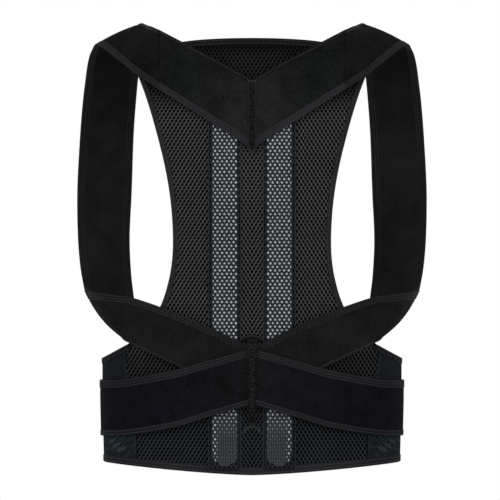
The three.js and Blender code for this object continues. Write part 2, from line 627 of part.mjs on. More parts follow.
// Mesh ribbons that cover the joins on the centre line.
function centreStrips() {
  const strip = (width, level, layer) => (u, v, off) =>
    backPoint(u * width / 2, level(v), off + layer(level(v)));
  const yokeFoot = -YOKE_DROP - YOKE_CENTRE_HEIGHT;
  const seamLevel = (v) => lerp(yokeFoot + GAP, -YOKE_DROP - GAP, v);
  const seamLayer = () => STRAP_LAYER + TAPE_WALL + LAYER_GAP;
  const seam = strip(SEAM_STRIP_WIDTH, seamLevel, seamLayer);
  add('seam_strip', closedSheet([-1, 1], even(0, 1, 6), seam, 0, STRIP_WALL, false), 'net');
  const head = -CROSS_DROP + LOOP_STRIP_OVER;
  const beltFoot = -CROSS_DROP - BELT_WIDTH;
  const foot = beltFoot - LOOP_STRIP_UNDER;
  const loopLayer = (z) => {
    const fromHead = smoothstep(head - z, 0, LOOP_STRIP_OVER * LOOP_RAMP);
    const fromFoot = smoothstep(z - foot, 0, LOOP_STRIP_UNDER * LOOP_RAMP);
    return lerp(GAP, LOOP_LAYER, Math.min(fromHead, fromFoot));
  };
  const levels = [0, 0.12, 0.22, 0.26, 0.4, 0.55, 0.7, 0.85, 0.91, 0.95, 1];
  const loop = strip(LOOP_STRIP_WIDTH, (v) => lerp(foot, head, v), loopLayer);
  add('loop_strip', closedSheet([-1, 1], levels, loop, 0, STRIP_WALL, false), 'net');
}

backPanel();
panelTapes();
sideElastics();
frontPanels();
stays();
yoke();
shoulderStraps();
crossBelts();
centreStrips();

export default corrector;
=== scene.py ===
"""Posture corrector, dressed over its frame: nets, brushed straps, edge tapes, stitches and elastics.

Lengths are in millimetres in the numbers and functions below, and become metres where a mesh is
made. The body form, the straps' path and the edges follow the same formulas as the frame's solids.
"""
import math

import bpy
import numpy as np
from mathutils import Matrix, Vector


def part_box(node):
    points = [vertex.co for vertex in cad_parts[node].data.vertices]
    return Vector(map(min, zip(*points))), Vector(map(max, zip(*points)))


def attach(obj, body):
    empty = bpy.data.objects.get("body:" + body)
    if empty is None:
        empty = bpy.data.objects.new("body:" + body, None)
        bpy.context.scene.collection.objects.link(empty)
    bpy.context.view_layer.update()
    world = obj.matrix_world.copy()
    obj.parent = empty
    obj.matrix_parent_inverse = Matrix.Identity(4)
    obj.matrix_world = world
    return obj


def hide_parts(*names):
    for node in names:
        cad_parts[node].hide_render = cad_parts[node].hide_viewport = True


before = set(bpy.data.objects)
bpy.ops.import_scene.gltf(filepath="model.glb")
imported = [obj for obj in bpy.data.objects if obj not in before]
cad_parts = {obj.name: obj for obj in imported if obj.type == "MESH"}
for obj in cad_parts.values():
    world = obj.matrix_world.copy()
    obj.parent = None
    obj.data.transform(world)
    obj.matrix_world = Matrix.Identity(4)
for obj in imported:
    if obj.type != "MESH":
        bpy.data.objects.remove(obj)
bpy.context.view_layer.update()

MM = 0.001

# Body form
WAIST_HALF_WIDTH, CHEST_HALF_WIDTH = 158.5, 190.0
BACK_DEPTH, FRONT_DEPTH, SQUARENESS = 118.0, 112.0, 2.4
PANEL_DROP, PANEL_HEIGHT, PANEL_WALL, PANEL_TOP_HALF = 14.0, 458.0, 3.0, 107.0
TOP_ARCH, TOP_CORNER, ARMHOLE_DROP, HEM_ARCH = 8.0, 12.0, 54.0, 12.6
SEAM_HALF_TOP, SEAM_HALF_HEM, WAIST_SIDE_FALL, WAIST_RISE = 133.3, 121.8, 15.5, 5.0
TOP_TAPE, ARMHOLE_TAPE, WAIST_TAPE, HEM_TAPE = 7.3, 5.8, 7.3, 8.4
STRAP_TAPE_WIDE, STRAP_TAPE_SLIM, BELT_TAPE_TOP, BELT_TAPE_FOOT = 8.4, 4.2, 8.4, 6.3
TAPE_WALL, EDGE_PROUD = 2.4, 0.8
STAY_WIDTH, STAY_SPACING, STAY_TOP_DROP, STAY_FOOT_RISE, SLEEVE_WIDTH = 25.2, 56.7, 74.0, 10.0, 36.0
YOKE_DROP, YOKE_RISE, YOKE_REACH, YOKE_CENTRE, YOKE_SEAM = 57.7, 51.4, 96.6, 73.0, 61.8
STRAP_WIDTH, STRAP_WALL, LOOP_SPREAD, LOOP_DEPTH = 60.0, 2.0, 185.5, 105.0
CROSS_DROP, CROSS_GAP, CROSS_SPAN = 0.74 * PANEL_HEIGHT, 1.0, 0.965
BELT_WIDTH, BELT_WALL, BELT_FALL, BELT_FRONT_STOP = 57.5, 1.8, 33.0, 62.0
SEAM_STRIP_WIDTH, LOOP_STRIP_WIDTH = 8.4, 11.6
LOOP_STRIP_OVER, LOOP_STRIP_UNDER = 10.0, 24.0
FRONT_LAP, ELASTIC_END = 35.0, math.radians(115.0)
LINING_TOP, LINING_INSET, LINING_WIDTH = -34.0, 3.0, 260.0
ELASTIC_HEIGHT, ELASTIC_FALL, FLAP_HEIGHT = 112.0, 20.0, 108.0

# Distance of each layer's inner face from the panel's outer face
SLEEVE_LAYER, STRAP_LAYER, BELT_LAYER, LOOP_LAYER, SIDE_LAYER = 1.7, 3.1, 5.9, 8.7, 0.7

# How far the edges leave the solids' ones to follow the photo: the upper edge of yoke and strap, a little
# more at SEAM_AT where the two meet, the yoke's lower tip, and the belt's upper and lower edges
EDGE_LIFT, SEAM_LIFT, SEAM_AT, TIP_DIP, BELT_SAG, BELT_SPREAD = 1.0, 0.9, 106.0, 4.0, 1.9, 1.3

NET_PITCH, NET_ROW, SLEEVE_PITCH, SLEEVE_ROW, RIBBON_PITCH, RIBBON_ROW = 4.3, 3.5, 4.8, 3.68, 2.4, 2.2
HEM_Z = -(PANEL_DROP + PANEL_HEIGHT)
WAIST_Z = -(CROSS_DROP - WAIST_RISE)
FRONT_TOP_Z = WAIST_Z - WAIST_SIDE_FALL

# Share of the height from the hem up; back depth; way from the waist's to the chest's half width
BODY = np.array([
    (0.00, 0.95, -0.09), (0.16, 0.88, -0.03), (0.29, 0.86, 0.00), (0.43, 0.91, 0.25), (0.61, 1.00, 0.65),
    (0.75, 0.99, 0.90), (0.88, 0.88, 1.00), (0.97, 0.73, 1.00), (1.05, 0.55, 1.00)])
# Share of the armhole's height; share of the seam's half width
ARMHOLE = np.array([
    (0.000, 0.968), (0.035, 0.885), (0.075, 0.805), (0.115, 0.748), (0.155, 0.708), (0.205, 0.673),
    (0.275, 0.640), (0.355, 0.624), (0.455, 0.628), (0.555, 0.648), (0.655, 0.684), (0.755, 0.734),
    (0.855, 0.792), (0.935, 0.846), (1.000, 0.898)])
# Share of the half width; share of the belt's fall
BELT_EDGE = np.array([
    (0.00, 0.00), (0.28, 0.38), (0.47, 0.61), (0.60, 0.73), (0.74, 0.86), (0.88, 0.96), (1.00, 1.00)])
# Strap: edge round the arm x, y, z, way across x, y, z, hug and bow, as shares, from yoke to crossing
STRAP = np.array([
    (0.651, -0.82, -0.155, -0.26, 0.78, 0.82, 0.35, 0), (0.764, -0.52, -0.108, -0.53, 0.70, 0.60, 0, 0.02),
    (0.872, -0.13, -0.065, -0.77, 0.47, 0.385, 0, 0.04), (0.908, 0.18, -0.080, -0.87, 0.39, 0.36, 0, 0.03),
    (0.932, 0.43, -0.115, -0.93, 0.35, 0.315, 0, 0.02), (0.951, 0.65, -0.177, -0.953, 0.27, 0.28, 0, 0),
    (0.968, 0.80, -0.248, -0.953, 0.20, 0.175, 0, 0), (0.985, 0.93, -0.356, -0.953, 0.13, 0.09, 0, 0),
    (1.000, 0.99, -0.510, -0.965, 0.10, 0.00, 0, 0), (0.996, 0.93, -0.650, -0.917, 0.13, -0.05, 0, 0),
    (0.980, 0.76, -0.743, -0.90, 0.23, -0.175, 0, 0), (0.960, 0.53, -0.796, -0.90, 0.33, -0.40, 0, 0.04),
    (0.949, 0.28, -0.814, -0.84, 0.27, -0.65, 0, 0.08), (0.942, 0.00, -0.820, -0.735, 0.10, -0.835, 0, 0.1),
    (0.916, -0.33, -0.824, -0.64, 0.00, -0.84, 0, 0.1),
    (0.855, -0.62, -0.829, -0.468, -0.035, -0.84, 0, 0.07),
    (0.764, -0.74, -0.836, -0.377, -0.05, -0.90, 0, 0.03),
    (0.664, -0.82, -0.845, -0.287, 0.00, -0.965, 0.6, 0),
    (0.515, -0.90, -0.872, -0.193, 0.00, -0.985, 1, 0), (0.350, -0.95, -0.908, -0.12, 0.00, -1.00, 1, 0),
    (0.217, -0.97, -0.940, -0.077, 0.00, -1.02, 1, 0)])


def follow(table, column, at):
    """Smooth curve through one column: cubic Hermite pieces whose slopes join each row's neighbours."""
    key, value = table[:, 0], table[:, column]
    last = len(key) - 1
    below, above = np.maximum(np.arange(last + 1) - 1, 0), np.minimum(np.arange(last + 1) + 1, last)
    slope = (value[above] - value[below]) / (key[above] - key[below])
    i = np.clip(np.searchsorted(key, at, side="left") - 1, 0, last - 1)
    span = key[i + 1] - key[i]
    t = np.clip((at - key[i]) / span, 0, 1)
    t2, t3 = t * t, t * t * t
    return ((2 * t3 - 3 * t2 + 1) * value[i] + (t3 - 2 * t2 + t) * span * slope[i]
            + (3 * t2 - 2 * t3) * value[i + 1] + (t3 - t2) * span * slope[i + 1])


def smooth(x, low, high):
    """0 below low, 1 above high, and 3t^2 - 2t^3 between."""
    t = np.clip((x - low) / (high - low), 0, 1)
    return t * t * (3 - 2 * t)


def mix(a, b, t):
    """a at t 0, b at t 1, straight between."""
    return a + (b - a) * t


def body_at(z):
    """Half width and back depth of the body form at a height."""
    up = 1 - z / HEM_Z
    half = mix(WAIST_HALF_WIDTH, CHEST_HALF_WIDTH, follow(BODY, 2, up))
    return half, BACK_DEPTH * follow(BODY, 1, up)


def ring(angle, z, off):
    """Point on the plan curve |x/a|^n + |y/b|^n = 1 at an angle from the back, off outside it."""
    angle, z, off = np.broadcast_arrays(*(np.asarray(v, float) for v in (angle, z, off)))
    half, deep = body_at(z)
    deep = np.where(np.cos(angle) > 0, deep, FRONT_DEPTH)
    sx, sy = np.sin(angle), -np.cos(angle)
    ux = np.sign(sx) * np.abs(sx) ** (2 / SQUARENESS)
    uy = np.sign(sy) * np.abs(sy) ** (2 / SQUARENESS)
    nx = np.sign(ux) * np.abs(ux) ** (SQUARENESS - 1) / half
    ny = np.sign(uy) * np.abs(uy) ** (SQUARENESS - 1) / deep
    length = np.hypot(nx, ny)
    return np.stack([half * ux + off * nx / length, deep * uy + off * ny / length, z], -1)


def angle_of(x, z):
    """Angle on the plan curve of a distance from the centre line, on the back."""
    share = np.clip(np.abs(x) / body_at(z)[0], 0, 1)
    return np.sign(x) * np.arcsin(share ** (SQUARENESS / 2))


def back(x, z, off):
    """Point of the body form at a distance from the centre line, on the back, off outside it."""
    x, z = np.broadcast_arrays(np.asarray(x, float), np.asarray(z, float))
    return ring(angle_of(x, z), z, off)


def reach_of(angle):
    """Share of the half width that an angle reaches, 1 from the side on."""
    return np.where(np.abs(angle) >= math.pi / 2, 1.0, np.abs(np.sin(angle)) ** (2 / SQUARENESS))


def hem_at(reach):
    """Height of the hem, rising from the centre by the power 1.4 of the reach."""
    return HEM_Z + HEM_ARCH * np.clip(reach, 0, 1) ** 1.4


def waist_top_at(reach):
    """Height of the waist band's top: level as far as the armhole's foot, then a straight fall."""
    corner = ARMHOLE[0, 1] * SEAM_HALF_TOP / WAIST_HALF_WIDTH
    return WAIST_Z - WAIST_SIDE_FALL * np.clip((reach - corner) / (1 - corner), 0, 1)


def seam_half(up):
    """Half width between the side seams at a share of the waist band's height, eased from foot to top."""
    return mix(SEAM_HALF_HEM, SEAM_HALF_TOP, smooth(up, 0.25, 0.8))


def seam_at(z):
    return seam_half(np.clip((z - HEM_Z) / (WAIST_Z - HEM_Z), 0, 1))


def armhole_half(z):
    """Outer edge of the armhole tape at a height."""
    return SEAM_HALF_TOP * follow(ARMHOLE, 1, (z - WAIST_Z) / (-ARMHOLE_DROP - WAIST_Z))


def top_edge(x):
    """Flat arch that turns down towards the corners: powers 2.2 and 8 of the share of the half width."""
    share = np.abs(x) / PANEL_TOP_HALF
    return -PANEL_DROP - TOP_ARCH * share ** 2.2 - TOP_CORNER * share ** 8


def panel_half(z):
    """Half width of the panel with its tapes: side seam, armhole, then straight to the top corner."""
    corner = PANEL_DROP + TOP_ARCH + TOP_CORNER
    past = np.clip((z + ARMHOLE_DROP) / (ARMHOLE_DROP - corner), 0, 1)
    above = mix(armhole_half(np.array(-ARMHOLE_DROP)), PANEL_TOP_HALF, past)
    beside = armhole_half(np.clip(z, WAIST_Z, -ARMHOLE_DROP))
    return np.where(z > -ARMHOLE_DROP, above, np.where(z > WAIST_Z, beside, seam_at(z)))


def catmull(points, t):
    """Uniform Catmull-Rom curve through the rows of points, mirrored past its ends."""
    full = np.vstack([2 * points[0] - points[1], points, 2 * points[-1] - points[-2]])
    i = np.clip(np.floor(t).astype(int), 0, len(points) - 2)
    w = (t - i)[..., None]
    a, b, c, d = (full[i + k] for k in range(4))
    m0, m1 = (c - a) / 2, (d - b) / 2
    return ((2 * w ** 3 - 3 * w ** 2 + 1) * b + (w ** 3 - 2 * w ** 2 + w) * m0
            + (3 * w ** 2 - 2 * w ** 3) * c + (w ** 3 - w ** 2) * m1)


YOKE_END_Z = -YOKE_DROP + YOKE_RISE - YOKE_SEAM
STATIONS = np.vstack([
    (YOKE_REACH + 0.1, -BACK_DEPTH, YOKE_END_Z, 0, 0, YOKE_SEAM, 1, 0),
    STRAP * ([LOOP_SPREAD, LOOP_DEPTH, CROSS_DROP] + [STRAP_WIDTH] * 3 + [1, STRAP_WIDTH]),
    (CROSS_GAP, -BACK_DEPTH, -CROSS_DROP, 0, 0, -CROSS_SPAN * STRAP_WIDTH, 1, 0)])
STRAP_END = len(STATIONS) - 1.0


def eased(column, u):
    """Value of a station column at u, eased from each station to the next."""
    i = np.clip(np.floor(u).astype(int), 0, len(STATIONS) - 2)
    return mix(STATIONS[i, column], STATIONS[i + 1, column], smooth(u - i, 0, 1))


def strap_base(u, v):
    """Edge point plus v times the way across, drawn onto the back by its hug; and the hug itself."""
    row = catmull(STATIONS[:, :6], u)
    free = row[..., :3] + row[..., 3:] * v[..., None]
    hug = eased(6, u)[..., None]
    return mix(free, back(free[..., 0], free[..., 2], STRAP_LAYER), hug), hug


def strap(u, v, off):
    """Base point plus off outward, with a bow of 4 v (1 - v) across.

    Near the yoke's seam the upper edge is lifted, so that it runs straight to the ridge.
    """
    u, v, off = np.broadcast_arrays(*(np.asarray(a, float) for a in (u, v, off)))
    step = 0.02
    p, hug = strap_base(u, v)
    along = strap_base(np.minimum(u + step, STRAP_END), v)[0] - strap_base(np.maximum(u - step, 0), v)[0]
    across = strap_base(u, v + step)[0] - strap_base(u, v - step)[0]
    out = np.cross(along, across)
    out /= np.linalg.norm(out, axis=-1, keepdims=True)
    body = back(p[..., 0], p[..., 2], 1.0) - back(p[..., 0], p[..., 2], 0.0)
    out = mix(out, body, hug)
    out /= np.linalg.norm(out, axis=-1, keepdims=True)
    p = p + out * (off + eased(7, u) * 4 * v * (1 - v))[..., None]
    reach = np.abs(p[..., 0])
    lift = EDGE_LIFT * (1 - smooth(reach, SEAM_AT - 1, SEAM_AT + 6))
    lift = lift + SEAM_LIFT * np.exp(-((reach - SEAM_AT) / 4) ** 2)
    p[..., 2] += lift * np.clip(v, 0, 1) ** 3 * (1 - smooth(u, 2, 3))
    return p


def yoke(x, v, off):
    """Band that rises straight from the centre to the strap, v from its lower edge to its upper one."""
    share = np.asarray(x, float) / YOKE_REACH
    z = -YOKE_DROP + YOKE_RISE * share - mix(YOKE_CENTRE, YOKE_SEAM, share) * (1 - v)
    z = z + EDGE_LIFT * np.clip(v, 0, 1) ** 3 * smooth(share, 0, 0.3)
    dip = TIP_DIP * (1 - smooth(share, 0, 0.1)) * (1 - np.clip(v, 0, 1)) ** 4
    return back(x, z - dip, off + STRAP_LAYER)


def belt(angle, v, off):
    """Band that falls from the crossing by the belt's curve, as wide across its slant everywhere."""
    reach = reach_of(angle)
    sag = BELT_SAG * smooth(reach, 0.28, 0.55) * (1 - 0.5 * smooth(reach, 0.85, 1))
    top = -CROSS_DROP - BELT_FALL * follow(BELT_EDGE, 1, reach) - sag
    width = BELT_WIDTH + BELT_SPREAD * smooth(reach, 0.1, 0.5)
    slant = BELT_FALL / WAIST_HALF_WIDTH * (1 - smooth(reach, 0.6, 1))
    layer = mix(BELT_LAYER, SIDE_LAYER, smooth(reach, 0.5, 0.93))
    return ring(angle, top - width * np.hypot(1, slant) * (1 - v), off + layer)


# Meshes

def mesh_object(name, points, faces, uvs=None, smooth_faces=True, mirrored=False):
    """Object from points in millimetres and an array or list of faces, with UV per vertex in metres."""
    points = np.asarray(points, float).reshape(-1, 3) * MM
    if mirrored:
        points = points * (-1, 1, 1)
        faces = [f[::-1] for f in faces] if isinstance(faces, list) else faces[:, ::-1]
    mesh = bpy.data.meshes.new(name)
    mesh.from_pydata(points.tolist(), [], faces if isinstance(faces, list) else faces.tolist())
    if uvs is not None:
        layer = mesh.uv_layers.new(name="UVMap")
        loops = np.empty(len(mesh.loops), dtype=np.int32)
        mesh.loops.foreach_get("vertex_index", loops)
        layer.data.foreach_set("uv", (np.asarray(uvs).reshape(-1, 2)[loops] * MM).ravel())
    mesh.polygons.foreach_set("use_smooth", [smooth_faces] * len(mesh.polygons))
    mesh.update()
    piece = bpy.data.objects.new(name, mesh)
    bpy.context.scene.collection.objects.link(piece)
    return piece


def face_outwards(mesh):
    """Turns all faces of a closed mesh over where they point inwards, so that its volume is negative."""
    mesh.calc_loop_triangles()
    corners = np.empty(len(mesh.loop_triangles) * 3, dtype=np.int32)
    mesh.loop_triangles.foreach_get("vertices", corners)
    places = np.empty(len(mesh.vertices) * 3)
    mesh.vertices.foreach_get("co", places)
    a, b, c = places.reshape(-1, 3)[corners.reshape(-1, 3)].transpose(1, 0, 2)
    if (a * np.cross(b, c)).sum() < 0:
        mesh.flip_normals()


def dress(piece, material, slot, *nodes, inside=None):
    """Gives a piece its material and body, and the solids that it stands for; its slot is not used."""
    face_outwards(piece.data)
    piece.data.materials.append(material)
    piece.data.materials.append(inside or material)
    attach(piece, "root")
    if nodes:
        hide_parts(*nodes)


def loop_faces(count_u, count_k):
    """Quads of a grid that closes in k, with an end cap at each end of u."""
    u, k = np.meshgrid(np.arange(count_u - 1), np.arange(count_k), indexing="ij")
    here, there = u * count_k + k, u * count_k + (k + 1) % count_k
    quads = np.stack([here, here + count_k, there + count_k, there], -1).reshape(-1, 4).tolist()
    half = count_k // 2
    first = [[j, j + 1, count_k - 2 - j, count_k - 1 - j] for j in range(half - 1)]
    start = (count_u - 1) * count_k
    last = [[start + i for i in reversed(f)] for f in first]
    return quads + first + last


def profile(w0, w1, width, inner, outer, count, relief=None, soft=0.5):
    """Closed section: out along the inner face, back along the outer one, with rounded edges.

    Both faces have the same stations across; relief(w) is added to the outer face, w in millimetres.
    """
    share = np.linspace(0, 1, count)
    ends = np.array([0.0, 0.35, 1.0]) * soft / (w1 - w0) / width
    share = np.unique(np.concatenate([ends, share[1:-1], 1 - ends]))
    w = mix(w0, w1, share)
    edge = np.minimum(share, 1 - share) * (w1 - w0) * width / soft
    roundness = np.sqrt(np.clip(1 - (1 - np.clip(edge, 0, 1)) ** 2, 0.06, 1))
    middle, thick = (inner + outer) / 2, (outer - inner) / 2
    top = middle + thick * roundness
    if relief is not None:
        top = top + relief(w * width) * np.clip(edge, 0, 1)
    bottom = middle - thick * roundness
    return np.concatenate([w, w[::-1]]), np.concatenate([bottom, top[::-1]])


def band(name, point, us, section, width, mirrored=False, wave=None):
    """Section carried along us: each point is point(u, w, off), UV is length along and across.

    Faces on the inner half of the section carry material 1.
    """
    w, off = section
    us = np.asarray(us, float)[:, None]
    off = np.broadcast_to(off, (len(us), len(w)))
    if wave is not None:
        off = off + wave(us, w * width)
    points = point(us, w[None, :], off)
    middle = point(us[:, 0], np.full(len(us), 0.5), np.zeros(len(us)))
    run = np.concatenate([[0], np.cumsum(np.linalg.norm(np.diff(middle, axis=0), axis=1))])
    uvs = np.stack(np.broadcast_arrays(run[:, None], (w * width)[None, :]), -1)
    piece = mesh_object(name, points, loop_faces(len(us), len(w)), uvs, mirrored=mirrored)
    sides = np.zeros(len(piece.data.polygons), dtype=np.int32)
    sides[:(len(us) - 1) * len(w)] = np.tile(np.arange(len(w)) < len(w) // 2, len(us) - 1)
    piece.data.polygons.foreach_set("material_index", sides)
    return piece


def stitches(name, lines, pitch=3.0, length=2.2, radius=0.32, mirrored=False):
    """Threads along lines of points: each is a five-sided bead whose two ends sink into the cloth."""
    centres, tangents, normals = [], [], []
    for line, up in lines:
        run = np.concatenate([[0], np.cumsum(np.linalg.norm(np.diff(line, axis=0), axis=1))])
        at = np.arange(pitch / 2, run[-1], pitch)
        ends = [np.stack([np.interp(at + s * length / 2, run, line[:, k]) for k in range(3)], -1)
                for s in (-1, 1)]
        centres.append((ends[0] + ends[1]) / 2)
        tangents.append(ends[1] - ends[0])
        normals.append(np.stack([np.interp(at, run, up[:, k]) for k in range(3)], -1))
    c, t, n = (np.concatenate(a) for a in (centres, tangents, normals))
    t /= np.linalg.norm(t, axis=1, keepdims=True)
    side = np.cross(n, t)
    side /= np.linalg.norm(side, axis=1, keepdims=True)
    n = np.cross(t, side)
    around = 5
    turn = np.linspace(0, 2 * math.pi, around + 1)[:around]
    circle = np.cos(turn)[None, :, None] * side[:, None] + np.sin(turn)[None, :, None] * n[:, None]
    stations = [(-0.5, 0.45, -0.25), (0.0, 1.0, 0.15), (0.5, 0.45, -0.25)]
    rings = [c[:, None] + (s * length) * t[:, None] + sink * radius * n[:, None] + radius * size * circle
             for s, size, sink in stations]
    k = np.arange(around)
    after = (k + 1) % around
    strip = np.stack([k, around + k, around + after, after], -1)
    one = np.concatenate([strip, strip + around])
    bead = np.arange(len(c))[:, None, None] * around * len(stations)
    quads = (one[None] + bead).reshape(-1, 4)
    caps = (np.stack([k, 3 * around - 1 - k])[None] + bead).reshape(-1, around)
    return mesh_object(name, np.stack(rings, 1), quads.tolist() + caps.tolist(), mirrored=mirrored)


def line_on(point, us, w, off, count=500):
    """Points of a seam line at a place across, and the outward way there."""
    u = np.interp(np.linspace(0, 1, count), np.linspace(0, 1, len(us)), us)
    base = point(u, np.full(count, float(w)), np.full(count, float(off)))
    out = point(u, np.full(count, float(w)), np.full(count, off + 1.0)) - base
    return base, out


def zigzag_on(point, us, w, swing, off, pitch):
    """As line_on, but swinging to and fro across by swing at every pitch along."""
    base, _ = line_on(point, us, w, off, 200)
    total = np.linalg.norm(np.diff(base, axis=0), axis=1).sum()
    count = max(int(total / pitch), 4)
    u = np.interp(np.linspace(0, 1, count), np.linspace(0, 1, len(us)), us)
    across = w + swing * np.where(np.arange(count) % 2, 1.0, -1.0)
    at = point(u, across, np.full(count, float(off)))
    out = point(u, across, np.full(count, off + 1.0)) - at
    return at, out


def net(name, keep, point, x_range, z_range, pitch, row, hole, inner, outer, shade):
    """Pierced net: staggered brick cells, each with an eight-sided oval hole and lens-shaped strands.

    A cell's border lies half a pitch and half a row from its centre, raised to outer and lowered to
    inner; the hole's rim lies between. hole(x, z) gives each oval's two half sizes and its tilt.
    Each hole strays a little in size and place, by the broken part of 43758.5453 sin(12.9898 i + 78.233 j).
    UV holds how near a point is to a strand's crest, for the painted light on the crests, and its shade.
    """
    rows = np.arange(math.floor(z_range[0] / row), math.ceil(z_range[1] / row) + 1)
    cols = np.arange(math.floor(x_range[0] / pitch) - 1, math.ceil(x_range[1] / pitch) + 2)
    j, i = np.meshgrid(rows, cols, indexing="ij")
    kx, kz = (2 * i + j % 2).ravel(), (2 * j).ravel()
    dx = np.array([-1, 0, 1, 1, 1, 0, -1, -1])
    dz = np.array([-1, -1, -1, 0, 1, 1, 1, 0])
    bx, bz = kx[:, None] + dx, kz[:, None] + dz
    inside = keep(bx * pitch / 2, bz * row / 2).all(axis=1)
    kx, kz, bx, bz = kx[inside], kz[inside], bx[inside], bz[inside]
    x, z = kx * pitch / 2, kz * row / 2
    long, short, tilt = (np.broadcast_to(v, x.shape)[:, None] for v in hole(x, z))
    stray = [np.modf(np.abs(np.sin(kx * 12.9898 + kz * 78.233 + k) * 43758.5453))[0][:, None] - 0.5
             for k in range(3)]
    way = np.arctan2(dz * row / 2, dx * pitch / 2)[None, :] - tilt
    size = (1 + 0.14 * stray[0]) / np.sqrt((np.cos(way) / long) ** 2 + (np.sin(way) / short) ** 2)
    hx = x[:, None] + size * np.cos(way + tilt) + 0.05 * pitch * stray[1]
    hz = z[:, None] + size * np.sin(way + tilt) + 0.05 * row * stray[2]
    stride = 100000
    keys, inverse = np.unique(bx.ravel() * stride + bz.ravel(), return_inverse=True)
    first = np.zeros(len(keys), int)
    first[inverse] = np.arange(len(inverse))
    ux, uz = bx.ravel()[first] * pitch / 2, bz.ravel()[first] * row / 2
    middle = (inner + outer) / 2
    top = point(ux, uz, np.full(len(ux), outer))
    low = point(ux, uz, np.full(len(ux), inner))
    rim = point(hx.ravel(), hz.ravel(), np.full(hx.size, middle))
    border = inverse.reshape(-1, 8)
    n = len(keys)
    edge = 2 * n + np.arange(hx.size).reshape(-1, 8)
    after = np.roll(np.arange(8), -1)
    upper = np.stack([border, border[:, after], edge[:, after], edge], -1).reshape(-1, 4)
    lower = np.stack([border[:, after] + n, border + n, edge, edge[:, after]], -1).reshape(-1, 4)
    sides = np.stack([border, border[:, after]], -1).reshape(-1, 2)
    code = np.sort(sides, axis=1) @ np.array([n, 1])
    _, index, count = np.unique(code, return_index=True, return_counts=True)
    open_sides = sides[index[count == 1]]
    walls = np.stack([open_sides[:, 1], open_sides[:, 0], open_sides[:, 0] + n, open_sides[:, 1] + n], -1)
    faces = np.concatenate([upper, lower, walls])
    # Crest share, which the netting turns into painted light on the strands' crests and painted shade down to
    # the holes
    crest = np.where(np.round(uz / (row / 2)).astype(int) % 2 == 0, 1.0, 0.72)
    crest = np.concatenate([crest, crest, np.zeros(hx.size)])
    tint = shade(np.concatenate([ux, ux, hx.ravel()]), np.concatenate([uz, uz, hz.ravel()]))
    uvs = np.stack([crest, tint], -1) / MM
    return mesh_object(name, np.concatenate([top, low, rim]), faces, uvs)


# Materials

class Socket:
    """A value in a material's node tree, with + - * / and reflected forms as Math nodes."""

    def __init__(self, tree, link):
        self.tree, self.link = tree, link

    def _math(self, operation, a, b):
        return node(self.tree, "ShaderNodeMath", {"operation": operation}, {0: a, 1: b})

    def __add__(self, other):
        return self._math("ADD", self, other)

    def __sub__(self, other):
        return self._math("SUBTRACT", self, other)

    def __rsub__(self, other):
        return self._math("SUBTRACT", other, self)

    def __rtruediv__(self, other):
        return self._math("DIVIDE", other, self)

    def __mul__(self, other):
        return self._math("MULTIPLY", self, other)

    def __truediv__(self, other):
        return self._math("DIVIDE", self, other)

    def __pow__(self, other):
        return self._math("POWER", self, other)

    __radd__, __rmul__ = __add__, __mul__


def node(tree, kind, settings=None, inputs=None, output=0):
    """Adds a node, sets its settings first and then its inputs, and gives one of its outputs."""
    made = tree.nodes.new(kind)
    for key, value in (settings or {}).items():
        setattr(made, key, value)
    for key, value in (inputs or {}).items():
        if isinstance(value, Socket):
            tree.links.new(value.link, made.inputs[key])
        else:
            made.inputs[key].default_value = value
    return Socket(tree, made.outputs[output])


